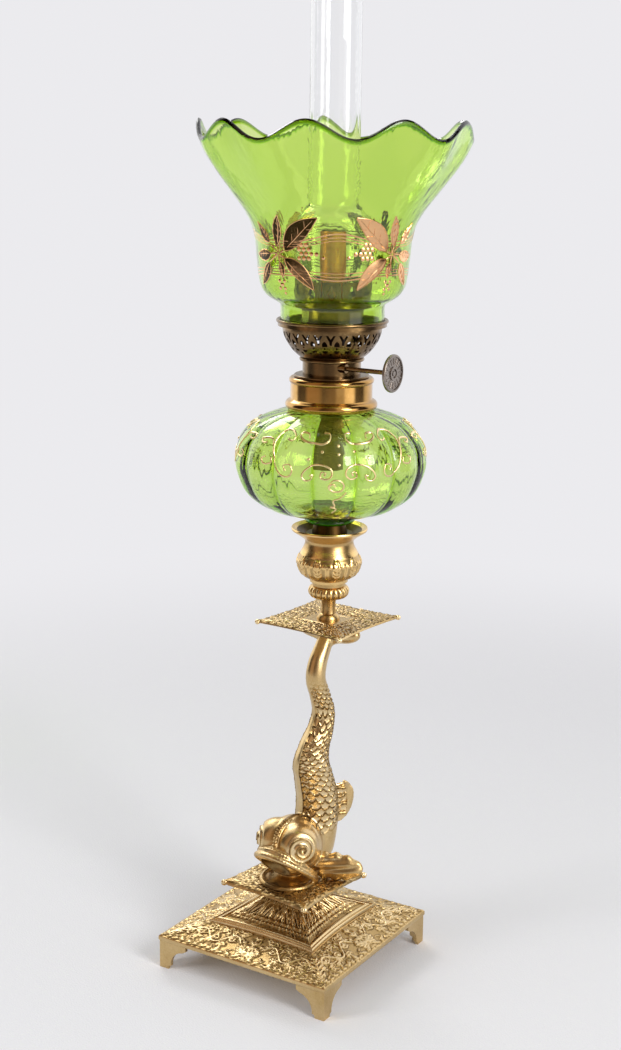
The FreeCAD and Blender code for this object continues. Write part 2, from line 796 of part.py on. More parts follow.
def bush(start_x, end_x):
    """Short bored sleeve along X."""
    sleeve = cross_rod(bush_r, start_x, end_x, spindle_y, spindle_z)
    bore = cross_rod(spindle_r + run_gap, start_x - overrun, end_x + overrun, spindle_y, spindle_z)
    return sleeve.cut(bore)


def end_bearing():
    """Closed bearing for the spindle's inner end, flush with the drum's far wall."""
    floor_x = bearing_floor()
    end_x = floor_x + bush_length / 2
    sleeve = cross_rod(bush_r, -neck_r, end_x, spindle_y, spindle_z).common(rod(neck_r, flange_z, basket_z))
    return sleeve.cut(cross_rod(spindle_r + run_gap, floor_x, end_x + overrun, spindle_y, spindle_z))


def bearing_floor():
    """Where the far bearing's blind bore ends, inside the drum's curve."""
    return -math.sqrt(neck_r ** 2 - (spindle_y - bush_r) ** 2)


def air_plate():
    """Pierced disc between the wick tube and the drum's lip."""
    outer_r = neck_r - burner_wall
    plate = tube(outer_r, wick_tube_r, basket_z - air_plate_thickness, basket_z)
    middle_r = (outer_r + wick_tube_r) / 2
    hole = Part.makeCylinder(air_hole_r, overrun * 2, Vec(middle_r, 0, basket_z - overrun))
    return plate.cut(about_axis(hole, air_holes))


def basket_radius(share):
    """Outer radius of the pierced basket at a share of its height, on a quarter-ellipse-like curve."""
    return neck_lip_r + (basket_top_r - neck_lip_r) * math.sin(math.pi / 2 * share) ** 0.9


def gallery_basket():
    """Pierced bowl under the gallery, with five rows of openings below a plain band."""
    height_shares = (0.25, 0.5, 0.75, 1.0)
    outer = [(basket_radius(share), basket_z + basket_height * share) for share in height_shares]
    inner = [(radius - basket_wall, height) for radius, height in reversed(outer[:-1])]
    foot_r = neck_lip_r - neck_lip_height * 0.5
    bowl = spun((foot_r - basket_wall, basket_z), [
        ((foot_r, basket_z),), tuple(outer), ((basket_top_r - basket_wall, gallery_z),),
        tuple(inner + [(foot_r - basket_wall, basket_z)])])
    return bowl.cut(basket_cuts())


def basket_cuts():
    """Radial cutters: forks, arched windows between them, round holes, bowls and small triangles."""
    pitch = 2 * math.pi * basket_top_r / basket_repeats
    start_x = basket_top_r * 0.68
    reach = Vec(basket_top_r * 0.4, 0, 0)
    fork_shares = (  # across in pitches, up the basket
        (-0.37, 0.87), (-0.19, 0.87), (0.0, 0.75), (0.19, 0.87), (0.37, 0.87), (0.11, 0.67),
        (0.08, 0.55), (-0.08, 0.55), (-0.11, 0.67))
    triangle_shares = ((-0.12, 0.27), (0.12, 0.27), (0.0, 0.15))

    def place(across, up):
        return Vec(start_x, pitch * across, basket_z + basket_height * up)

    def prism(shares):
        corners = [place(across, up) for across, up in shares]
        return Part.Face(Part.makePolygon(corners + corners[:1])).extrude(reach)

    foot_left, foot_right, apex = place(-0.2, 0.5), place(0.2, 0.5), place(0, 0.68)
    left, right = place(-0.2, 0.57), place(0.2, 0.57)
    arch = Part.Face(Part.Wire([
        line(foot_left, foot_right), line(foot_right, right), arc(right, place(0.12, 0.64), apex),
        arc(apex, place(-0.12, 0.64), left), line(left, foot_left)])).extrude(reach)
    bowl_left, bowl_right = place(-0.22, 0.36), place(0.22, 0.36)
    bowl_low = (bowl_left + bowl_right) * 0.5 - UP * (bowl_right.y - bowl_left.y) * 0.5
    bowl = Part.Face(Part.Wire([
        line(bowl_left, bowl_right), arc(bowl_right, bowl_low, bowl_left)])).extrude(reach)
    round_hole = Part.makeCylinder(pitch * 0.08, reach.x, place(0, 0.435), Vec(1, 0, 0))
    fork = prism(fork_shares)
    fork.translate(reach * 0.3)
    half_pitch = 180 / basket_repeats
    cuts = []
    for cutter, phase in ((fork, 0), (arch, half_pitch), (round_hole, half_pitch),
                          (bowl, half_pitch), (prism(triangle_shares), 0)):
        cuts += about_axis(cutter, basket_repeats, phase)
    return cuts


def gallery_rim():
    """Shelf and rolled wall that hold the shade's foot."""
    shelf_top = gallery_z + gallery_shelf_thickness
    wall_in = shade_neck_r + seat_gap
    wall_out = gallery_rim_r - gallery_bead_r
    top = gallery_z + gallery_rim_height
    return spun((drum_r, gallery_z), [
        ((basket_top_r, gallery_z),), ((wall_out, gallery_z + gallery_shelf_thickness / 2),),
        ((wall_out, top - gallery_bead_r * 2),),
        ((gallery_rim_r, top - gallery_bead_r), (wall_out, top)),
        ((wall_in, top - gallery_bead_r / 2),), ((wall_in, shelf_top),), ((drum_r, shelf_top),),
        ((drum_r, gallery_z),)])


def chimney_holder():
    """Drum that flares into the pierced crown round the chimney's foot."""
    inner_r = drum_r - crown_wall
    crown_in = crown_r - crown_wall
    holder = spun((inner_r, gallery_z), [
        ((drum_r, gallery_z),), ((drum_r, drum_top_z),), ((crown_r, crown_z),), ((crown_r, crown_top_z),),
        ((crown_in, crown_top_z),), ((crown_in, crown_z + crown_wall),),
        ((inner_r, drum_top_z + crown_wall),), ((inner_r, gallery_z),)])
    return holder.cut(crown_cuts())


def crown_cuts():
    """Teardrop windows in the crown and the slots between its fingers."""
    reach = crown_r + overrun
    drop_r = math.pi * crown_r / crown_slots * 0.42
    drop_z = crown_z + crown_height * 0.42
    left = Vec(0, -drop_r, drop_z)
    right = Vec(0, drop_r, drop_z)
    tip = Vec(0, 0, drop_z + drop_r * 2.4)
    edges = [line(right, tip), line(tip, left), arc(left, Vec(0, 0, drop_z - drop_r), right)]
    drop = Part.Face(Part.Wire(edges)).extrude(Vec(reach, 0, 0))
    slot_z = crown_z + crown_height * 0.3
    slot = block(0, reach, -crown_wall / 2, crown_wall / 2, slot_z, crown_top_z + overrun)
    return about_axis(drop, crown_slots) + about_axis(slot, crown_slots, 180 / crown_slots)


# Wick tubes, wick and spindle
def wick_window():
    """Opening in the outer wick tube where the sprockets reach the wick."""
    half = sprocket_spread + sprocket_thickness + seat_gap
    high = sprocket_r + seat_gap * 2
    return block(-half, half, -wick_tube_r - overrun, -wick_inner_r, spindle_z - high, spindle_z + high)


def outer_wick_tube():
    """Tube round the wick with the sprocket window and the web at the wick's slit."""
    shell = tube(wick_tube_r, wick_tube_r - wick_tube_wall, tube_foot_z, tube_top_z)
    web_start = inner_tube_r - inner_tube_wall / 2
    web_end = wick_tube_r - wick_tube_wall / 2
    web = block(-tube_web / 2, tube_web / 2, web_start, web_end, neck_top_z, tube_top_z - wick_outer_r)
    return fused(shell.cut(wick_window()), web.cut(rod(inner_tube_r, neck_top_z - overrun, tube_top_z)))


def inner_wick_tube():
    """Draught tube inside the wick, held by the web."""
    return tube(inner_tube_r, inner_tube_r - inner_tube_wall, neck_top_z, tube_top_z)


def wick():
    """Flat wick folded round the inner tube with an open slit at the web, hanging into the font."""
    low_z = wick_top_z - wick_length
    sleeve = tube(wick_outer_r, wick_inner_r, low_z, wick_top_z)
    half = wick_slit / 2
    slit = block(-half, half, 0, wick_outer_r + overrun, low_z - overrun, wick_top_z + overrun)
    return sleeve.cut(slit)


def wick_spindle():
    """Turned rod from the far bearing out to the knob."""
    start_x = bearing_floor() + seat_gap
    return cross_rod(spindle_r, start_x, spindle_reach - knob_thickness, spindle_y, spindle_z)


def sprockets():
    """Two toothed wheels on the spindle that grip the wick."""
    wheels = []
    tip_r = sprocket_r - seat_gap / 2
    root_r = sprocket_r * 0.72
    for side in (-1, 1):
        start_x = side * sprocket_spread - sprocket_thickness / 2
        points = []
        for step in range(sprocket_teeth * 2):
            reach = tip_r if step % 2 else root_r
            angle = math.pi * step / sprocket_teeth
            points.append(Vec(start_x, spindle_y + reach * math.cos(angle),
                              spindle_z + reach * math.sin(angle)))
        wheel = Part.Face(Part.makePolygon(points + points[:1])).extrude(Vec(sprocket_thickness, 0, 0))
        wheels.append(wheel.cut(cross_rod(spindle_r, -neck_r, neck_r, spindle_y, spindle_z)))
    return Part.makeCompound(wheels)


def knob_disc():
    """Disc with a rolled edge; its sunk face has a ring, a rivet and raised petals round them."""
    back = spindle_reach - knob_thickness
    front = spindle_reach + overrun
    field_x = spindle_reach - knob_thickness * 0.3
    disc = cross_rod(knob_r, back, spindle_reach, spindle_y, spindle_z)
    rims = [edge for edge in disc.Edges if isinstance(edge.Curve, Part.Circle)]
    disc = disc.makeFillet(knob_thickness * 0.4, rims)
    field = cross_rod(knob_r * 0.87, field_x, front, spindle_y, spindle_z)
    ring = cross_rod(knob_r * 0.36, field_x, spindle_reach, spindle_y, spindle_z)
    ring = ring.cut(cross_rod(knob_r * 0.25, field_x, front, spindle_y, spindle_z))
    rivet = cross_rod(knob_r * 0.13, back, spindle_reach, spindle_y, spindle_z)
    petals = []
    for step in range(knob_petals):
        angle = 2 * math.pi * step / knob_petals
        outward = Vec(0, math.cos(angle), math.sin(angle))
        start = Vec(field_x, spindle_y, spindle_z) + outward * knob_r * 0.45
        petals.append(Part.makeCone(knob_r * 0.025, knob_r * 0.05, knob_r * 0.34, start, outward))
    return fused(disc.cut(field), ring, rivet, *petals)


def knob_hub():
    """Small collar behind the disc, pinned to the spindle."""
    back = spindle_reach - knob_thickness
    hub = cross_rod(spindle_r * 2, back - knob_thickness, back, spindle_y, spindle_z)
    return hub.cut(cross_rod(spindle_r, back - knob_thickness - overrun, back, spindle_y, spindle_z))


# Glass above the burner
def chimney():
    """Tall glass chimney: a wide foot, a draw-in above the flame and a long straight tube."""
    foot_z = chimney_z
    waist_z = foot_z + chimney_waist
    tube_z = waist_z + chimney_draw_in
    top_z = foot_z + chimney_height
    foot_in = chimney_foot_r - chimney_wall
    tube_in = chimney_tube_r - chimney_wall
    middle_r = (chimney_foot_r + chimney_tube_r) / 2
    middle_z = (waist_z + tube_z) / 2
    return spun((foot_in, foot_z), [
        ((chimney_foot_r, foot_z),), ((chimney_foot_r, waist_z),),
        ((chimney_foot_r * 0.97, waist_z + chimney_draw_in * 0.25), (middle_r, middle_z),
         (chimney_tube_r * 1.04, tube_z - chimney_draw_in * 0.25), (chimney_tube_r, tube_z)),
        ((chimney_tube_r, top_z),), ((tube_in, top_z),), ((tube_in, tube_z),),
        ((tube_in * 1.04, tube_z - chimney_draw_in * 0.25), (middle_r - chimney_wall, middle_z),
         (foot_in * 0.97, waist_z + chimney_draw_in * 0.25), (foot_in, waist_z)),
        ((foot_in, foot_z),)])


def shade_rings(wall):
    """Rings up the shade's bell, waved only towards the rim."""
    bell_z = shade_z + shade_neck_height
    bell_height = shade_height - shade_neck_height
    belly_r = shade_r * 0.56
    bell_shares = (  # height, way from the neck to the belly (1) and on to the rim (2), wave
        (0.0, 0.0, 0.0), (0.022, 0.12, 0.0), (0.06, 0.55, 0.0), (0.12, 0.84, 0.0), (0.24, 0.98, 0.0),
        (0.42, 1.05, 0.0), (0.53, 1.18, 0.05), (0.66, 1.44, 0.2), (0.78, 1.68, 0.42),
        (0.90, 1.88, 0.75), (1.0, 2.0, 1.0))
    rings = []
    for height_share, radius_share, wave in bell_shares:
        if radius_share < 1:
            radius = shade_neck_r + (belly_r - shade_neck_r) * radius_share
        else:
            radius = belly_r + (shade_r - belly_r) * (radius_share - 1)
        lift = wall * 0.5 * math.exp(-height_share * 8) if wall else 0
        rings.append(waved_ring(radius - wall, bell_z + bell_height * height_share + lift, shade_ruffles,
                                shade_ruffle_phase, 0, shade_ruffle_rise * wave))
    return rings


def shade():
    """Glass shade: a straight neck, a round shoulder and a bell that flares into nine ruffles."""
    outer = shade_rings(0)
    inner = shade_rings(shade_wall)
    foot_out = waved_ring(shade_neck_r, shade_z, shade_ruffles, shade_ruffle_phase)
    foot_in = waved_ring(shade_neck_r - shade_wall, shade_z, shade_ruffles, shade_ruffle_phase)
    skins = [
        Part.makeLoft([foot_out, outer[0]], False, True), Part.makeLoft(outer, False, False),
        Part.makeLoft([outer[-1], inner[-1]], False, True), Part.makeLoft(inner, False, False),
        Part.makeLoft([foot_in, inner[0]], False, True), Part.makeLoft([foot_out, foot_in], False, True)]
    faces = [face for skin in skins for face in skin.Faces]
    shell = Part.makeShell(faces)
    shell.sewShape()
    body = Part.makeSolid(Part.Shell(shell.Faces))
    if body.Volume < 0:
        body.reverse()
    return body


def save_base():
    """Base, feet and the fastening under it."""
    save("base_casting", base_casting(), base_place)
    foot_names = ("foot_front_left", "foot_front_right", "foot_back_right", "foot_back_left")
    for name, foot in zip(foot_names, about_axis(bracket_foot(), 4)):
        save(name, foot, base_place)
    save_on_column("base_washer", base_washer())
    save_on_column("base_nut", base_nut())


def save_column():
    """Cushion, fish and drip plate, turned together, and the socket on the tail."""
    save_on_column("cushion_plate", cushion_plate())
    save_on_column("dolphin_column", dolphin())
    save_on_column("drip_plate", drip_plate())
    save_on_lamp("socket_stem", socket_stem())
    save_on_lamp("candle_socket", candle_socket())


def save_font():
    """Peg, plaster, font and collar."""
    save_on_lamp("peg", peg())
    save_on_lamp("peg_cement", peg_cement())
    save_on_lamp("font_glass", font_glass())
    save_on_lamp("collar_cement", collar_cement())
    save_on_lamp("font_collar", font_collar())


def save_burner():
    """Burner from its thread up to the chimney holder, with the wick raiser."""
    save_on_lamp("burner_skirt", burner_skirt())
    save_on_lamp("burner_neck", burner_neck())
    save_on_lamp("spindle_bush", spindle_bush())
    save_on_lamp("spindle_end_bearing", end_bearing())
    save_on_lamp("air_plate", air_plate())
    save_on_lamp("gallery_basket", gallery_basket())
    save_on_lamp("gallery_rim", gallery_rim())
    save_on_lamp("chimney_holder", chimney_holder())
    save_on_lamp("outer_wick_tube", outer_wick_tube())
    save_on_lamp("inner_wick_tube", inner_wick_tube())
    save_on_lamp("wick", wick())
    save_on_lamp("wick_spindle", wick_spindle())
    save_on_lamp("sprocket_wheels", sprockets())
    save_on_lamp("knob_disc", knob_disc())
    save_on_lamp("knob_hub", knob_hub())


save_base()
save_column()
save_font()
save_burner()
save_on_lamp("chimney", chimney())
save_on_lamp("shade", shade())
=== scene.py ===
"""Looks of the peg oil lamp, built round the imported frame.

Metres, +Z up. Cast and turned brass below, a lobed green font, a pierced burner, a clear chimney and a
ruffled green shade. Every new surface is worked out with numpy as a grid, a turned profile, or a block
of clay for the fish, and rides on the body that carries it.
"""
import json
from math import atan2, cos, pi, radians, sin

import bpy
import numpy as np
from bpy.props import FloatProperty, FloatVectorProperty, PointerProperty
from mathutils import Matrix, Vector

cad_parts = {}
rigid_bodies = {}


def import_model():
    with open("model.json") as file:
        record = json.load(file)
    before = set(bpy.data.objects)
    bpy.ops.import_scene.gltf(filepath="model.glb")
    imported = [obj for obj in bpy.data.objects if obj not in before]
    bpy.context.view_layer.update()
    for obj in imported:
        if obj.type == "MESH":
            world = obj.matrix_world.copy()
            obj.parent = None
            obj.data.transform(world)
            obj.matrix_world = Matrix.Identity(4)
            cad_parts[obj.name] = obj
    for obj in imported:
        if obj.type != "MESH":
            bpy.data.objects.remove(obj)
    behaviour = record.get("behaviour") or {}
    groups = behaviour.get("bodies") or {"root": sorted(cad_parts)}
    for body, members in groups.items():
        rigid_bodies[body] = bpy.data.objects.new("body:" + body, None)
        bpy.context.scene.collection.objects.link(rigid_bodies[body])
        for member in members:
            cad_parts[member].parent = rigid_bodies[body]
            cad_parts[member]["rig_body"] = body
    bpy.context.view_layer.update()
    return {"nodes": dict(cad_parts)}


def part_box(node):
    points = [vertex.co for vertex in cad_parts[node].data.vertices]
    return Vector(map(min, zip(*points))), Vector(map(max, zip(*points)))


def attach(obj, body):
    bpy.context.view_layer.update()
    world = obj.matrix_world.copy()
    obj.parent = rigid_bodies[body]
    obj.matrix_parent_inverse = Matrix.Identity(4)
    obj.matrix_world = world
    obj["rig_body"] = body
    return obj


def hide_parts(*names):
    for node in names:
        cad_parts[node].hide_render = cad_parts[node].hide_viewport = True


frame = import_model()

bl_info = {
    "name": "Peg Oil Lamp",
    "version": (1, 0, 0),
    "blender": (4, 5, 0),
    "location": "View3D > Sidebar > Peg Lamp",
    "description": "Dresses the frame of a peg oil lamp on a dolphin candlestick",
    "category": "Object",
}

MM_PER_METRE = 1000

# Places that the frame gives
BASE_LOW, BASE_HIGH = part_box("base_casting")
SOCKET_LOW, SOCKET_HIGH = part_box("candle_socket")
DRIP_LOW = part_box("drip_plate")[0]
FONT_LOW, FONT_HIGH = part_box("font_glass")
SHADE_LOW, SHADE_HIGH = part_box("shade")
STEM_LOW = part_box("socket_stem")[0]
BASE = (BASE_LOW + BASE_HIGH) / 2
LAMP = (SOCKET_LOW + SOCKET_HIGH) / 2
SET_BACK = (LAMP.xy - BASE.xy).length
COLUMN_TURN = atan2(BASE.x - LAMP.x, LAMP.y - BASE.y)
HALF_BASE = (BASE_HIGH.x - BASE_LOW.x) / 2


def node_points(node):
    """A node's points as an array."""
    mesh = frame["nodes"][node].data
    flat = np.empty(len(mesh.vertices) * 3, np.float32)
    mesh.vertices.foreach_get("co", flat)
    return flat.reshape(-1, 3).astype(float)


def top_near_middle(node, reach):
    """Greatest height of a node's points within a reach of the base's middle."""
    points = node_points(node)
    near = np.hypot(points[:, 0] - BASE.x, points[:, 1] - BASE.y) < reach
    return float(points[near, 2].max())


CUSHION_TOP = top_near_middle("cushion_plate", HALF_BASE / 8)
CUSHION_SEAT = BASE_HIGH.z
TWIST = radians(24)               # turn of the fish's body against its head
FRONT = radians(-58.4)            # the side of the glass that faces the camera
SHADE_REACH = 0.0445              # radius of the shade where its sprays lie
SPRAY_Z = SHADE_LOW.z + 0.0436    # height of the sprays' middles


# Settings
def length(name, description, default):
    """A length in metres."""
    return FloatProperty(name=name, description=description, default=default, unit="LENGTH", precision=5)


def number(name, description, default, unit="NONE"):
    """A plain number, or one in a unit of its own."""
    return FloatProperty(name=name, description=description, default=default, unit=unit)


def colour(name, description, default):
    """A linear colour."""
    return FloatVectorProperty(name=name, description=description, default=default, size=3,
                               subtype="COLOR", min=0, max=1)


def angle_setting(name, description, degrees):
    """An angle, written in degrees."""
    return FloatProperty(name=name, description=description, default=radians(degrees), subtype="ANGLE")


class StageSettings(bpy.types.PropertyGroup):
    """Camera, lamps and the pale ground."""
    camera_x: length("Camera across", "Camera's place along X", 0.5175)
    camera_y: length("Camera along", "Camera's place along Y", -0.8343)
    camera_z: length("Camera height", "Camera's height over the table", 0.5064)
    yaw: angle_setting("Yaw", "Camera's turn to the left of +Y", 32.29)
    pitch: angle_setting("Pitch", "Camera's tilt over the horizon", -13.48)
    roll: angle_setting("Roll", "Camera's lean", 0.65)
    lens: number("Lens", "Focal length in millimetres on a 36 mm sensor", 57.62, "CAMERA")
    ground: colour("Ground", "Floor and background", (0.835, 0.83, 0.855))
    room_glow: number("Room glow", "Brightest part of the room that the metal mirrors", 2.3)
    room_r: length("Room radius", "Reach of the room round the table", 1.9)
    floor_r: length("Floor radius", "Reach of the floor", 3.0)
    floor_plain: length("Shadow reach", "Floor keeps shadows within this radius", 0.45)
    sky: number("Sky strength", "Light from all round", 0.5)
    key: number("Key power", "Window in front on the right, in watts", 15.0, "POWER")
    fill: number("Fill power", "Window on the left, in watts", 9.0, "POWER")
    back: number("Back power", "Lamp behind, in watts", 6.0, "POWER")


class MetalSettings(bpy.types.PropertyGroup):
    """Brass finishes."""
    # Dark of the old lacquer and dirt in the hollows, also used as painted shade inside the cup and on the
    # peg
    recess: colour("Recess", "Old lacquer and dirt in the hollows", (0.070, 0.036, 0.012))
    middle: colour("Cast brass", "Cast brass between hollows and ridges", (0.52, 0.35, 0.14))
    ridge: colour("Ridge", "Rubbed high places", (0.90, 0.72, 0.43))
    turned: colour("Turned brass", "Polished turned brass", (0.76, 0.52, 0.22))
    collar: colour("Collar brass", "Deep yellow turned brass of the collar", (0.44, 0.25, 0.075))
    burner: colour("Burner brass", "Browned sheet brass", (0.19, 0.118, 0.052))
    knob: colour("Knob", "Grey-brown plated knob", (0.27, 0.235, 0.21))
    tube: colour("Wick tube", "Copper of the wick tube", (0.72, 0.24, 0.08))
    tube_edge: colour("Wick tube's edge", "Rubbed edge of the wick tube", (0.85, 0.42, 0.2))
    # Painted shade: colour of the wick tube below the shade's foot, inside the burner
    soot: colour("Soot", "Wick tube where the flame's soot lies", (0.03, 0.016, 0.01))
    gilding: colour("Gilding", "Coppery gilding on the glass", (0.62, 0.36, 0.18))
    # Painted shade: the dark colour that every other spray takes, standing for the side away from the light
    gilding_worn: colour("Worn gilding", "Dark gilding of every other spray", (0.035, 0.022, 0.006))
    scrolls: colour("Scrolls", "Pale raised gilding on the font", (0.86, 0.66, 0.36))


class GlassSettings(bpy.types.PropertyGroup):
    """Glass of the shade, font and chimney."""
    green: colour("Green glass", "What a long way through the shade lets by", (0.80, 0.93, 0.22))
    green_density: number("Green density", "Absorption of the shade per metre", 560.0)
    font: colour("Font glass", "What a long way through the font lets by", (0.80, 0.92, 0.33))
    font_density: number("Font density", "Absorption of the font per metre", 350.0)
    clear: colour("Clear glass", "What a long way through the chimney lets by", (0.86, 0.93, 0.91))
    clear_density: number("Clear density", "Absorption of the chimney per metre", 30.0)


class FishSettings(bpy.types.PropertyGroup):
    """Cast fish."""
    pitch: length("Clay pitch", "Spacing of the clay block's grid", 0.00056)
    girth_r: length("Girth radius", "Body radius at the head", 0.0132)
    cheek_r: length("Cheek radius", "Round cheeks", 0.0128)
    scale_width: length("Scale width", "Across one scale", 0.0052)
    scale_length: length("Scale length", "From one row of scales to the next", 0.0036)
    scale_rise: length("Scale rise", "Height of a scale's free edge", 0.0009)


# Small mathematics
def ramp(value, low, high):
    """Smooth step from 0 at low to 1 at high."""
    t = np.clip((value - low) / (high - low), 0, 1)
    return t * t * (3 - 2 * t)


def bump(value, middle, half):
    """Round hump: 1 at the middle, 0 half a width away."""
    return np.clip(1 - ((value - middle) / half) ** 2, 0, 1)


def ring_angles(number):
    """Even angles round a full turn, without the last."""
    return np.linspace(0, 2 * pi, number, endpoint=False)


def smooth_line(table, steps):
    """Points on a curve through the table's rows, with this many steps between two rows.

    Between two rows the curve is a cubic whose end slopes are half the way between the neighbours."""
    rows = np.asarray(table, float)
    padded = np.concatenate([2 * rows[:1] - rows[1:2], rows, 2 * rows[-1:] - rows[-2:-1]])
    t = np.linspace(0, 1, steps, endpoint=False)[None, :, None]
    before, start, end, after = (padded[k:len(rows) - 1 + k, None] for k in range(4))
    curve = 0.5 * (2 * start + (end - before) * t + (2 * before - 5 * start + 4 * end - after) * t ** 2
                   + (3 * start - before - 3 * end + after) * t ** 3)
    return np.concatenate([curve.reshape(-1, rows.shape[1]), rows[-1:]])


def spaced(points, spacing):
    """The same line with its points spread evenly, about a spacing apart."""
    run = np.concatenate([[0], np.cumsum(np.linalg.norm(np.diff(points[:, :2], axis=0), axis=1))])
    places = np.linspace(0, run[-1], max(2, int(run[-1] / spacing) + 1))
    return np.stack([np.interp(places, run, column) for column in points.T], -1)


def arc_points(start, middle, end, steps=12):
    """Points on the circle through three points of a plane."""
    a, b, c = (np.asarray(p, float) for p in (start, middle, end))
    matrix = 2 * np.array([b - a, c - a])
    centre = np.linalg.solve(matrix, np.array([b @ b - a @ a, c @ c - a @ a]))
    first, mid, last = (np.arctan2(*(p - centre)[::-1]) for p in (a, b, c))
    sweep, part = (last - first) % (2 * pi), (mid - first) % (2 * pi)
    if part > sweep:
        sweep -= 2 * pi
    angles = first + np.linspace(0, sweep, steps + 1)
    return centre + np.linalg.norm(a - centre) * np.stack([np.cos(angles), np.sin(angles)], -1)


def profile(start, steps, spacing):
    """Outline in radius and height: one point in a step is a line, two an arc, more a smooth curve."""
    parts = [np.array([start], float)]
    here = start
    for step in steps:
        if len(step) == 2:
            run = arc_points(here, *step)
        elif len(step) == 1:
            run = np.array([here, step[0]], float)
        else:
            run = smooth_line([here, *step], 12)
        parts.append(spaced(run, spacing)[1:])
        here = step[-1]
    return np.concatenate(parts)


def turned(points, angles, swing=0.0):
    """Grid of a profile turned round the upright axis, its radius changed by the swing."""
    radius = points[:, :1] + swing
    height = np.broadcast_to(points[:, 1:2], np.broadcast_shapes(radius.shape, (1, len(angles))))
    return np.stack(np.broadcast_arrays(radius * np.cos(angles), radius * np.sin(angles), height), -1)


def square_rings(rows, number):
    """Grid of square rings given as half side, bow and height, with a number of points on each side.

    On a side the place across is the half side times t, and the bow draws it in by 1 - t squared."""
    half, bow, height = (np.asarray(rows, float)[:, k, None] for k in range(3))
    t = np.linspace(-1, 1, number, endpoint=False)[None]
    x, y = half * t, bow * (1 - t ** 2) - half
    across = np.concatenate([x, -y, -x, y], 1)
    along = np.concatenate([y, x, -y, -x], 1)
    return np.stack([across, along, np.broadcast_to(height, across.shape)], -1)


def raised(points, amount):
    """The grid moved out along its normals by an amount for each point."""
    along = np.gradient(points, axis=0)
    around = np.roll(points, -1, 1) - np.roll(points, 1, 1)
    normal = np.cross(around, along)
    normal /= np.maximum(np.linalg.norm(normal, axis=-1, keepdims=True), 1e-12)
    return points + normal * np.asarray(amount)[..., None]


def placed(points, middle=(0, 0), turn=0.0):
    """Points turned about the upright axis and moved in plan."""
    c, s = cos(turn), sin(turn)
    x, y = points[..., 0], points[..., 1]
    return np.stack([c * x - s * y + middle[0], s * x + c * y + middle[1], points[..., 2]], -1)


def on_lamp(points):
    """Points modelled about the socket's axis."""
    return placed(points, LAMP)


def on_column(points):
    """Points modelled about the base's middle and turned with the column."""
    return placed(points, BASE, COLUMN_TURN)


# Ornament
def curl(x, y, heading, size, turn, thick):
    """Spiral stroke of rows x, y, radius: the reach from its middle shrinks evenly as it winds in, and
    its last fifth swells to a bud."""
    turns, shrink = 1.3, 0.8
    t = np.linspace(0, 1, 26)
    first = heading - turn * pi / 2
    angle = first + turn * 2 * pi * turns * t
    reach = size * (1 - shrink * t)
    across = x + reach * np.cos(angle) - size * cos(first)
    up = y + reach * np.sin(angle) - size * sin(first)
    return np.stack([across, up, thick * (0.8 + 0.5 * ramp(t, 0.8, 1))], -1)


def frond(x, y, heading, long, bend, thick, steps=10):
    """Stroke whose heading turns evenly by the bend, thick in the middle and fine at its tip."""
    t = np.linspace(0, 1, steps)
    way = heading + bend * t
    run = long / steps
    swell = thick * (0.35 + 0.65 * np.sin(pi * (0.2 + 0.75 * t)))
    return np.stack([x + np.cumsum(np.cos(way)) * run, y + np.cumsum(np.sin(way)) * run, swell], -1)


def leaf(x, y, heading, long, wide, lobes, thick, bend=0.0):
    """Strokes of an acanthus leaf: a midrib and paired lobes that lean forward, longest at two fifths."""
    steps, hook = 14, radians(48)
    rib = frond(x, y, heading, long, bend, thick * 0.8, steps)
    strokes = [rib]
    for index in range(lobes):
        t = (index + 0.4) / lobes
        row = rib[int(t * (steps - 1))]
        reach = wide * sin(pi * (0.22 + 0.68 * t)) ** 0.7
        spread = radians(68 - 26 * t)
        for side in (-1, 1):
            way = heading + bend * t + side * spread
            strokes.append(frond(row[0], row[1], way, reach, -side * hook, thick, 8))
    return strokes


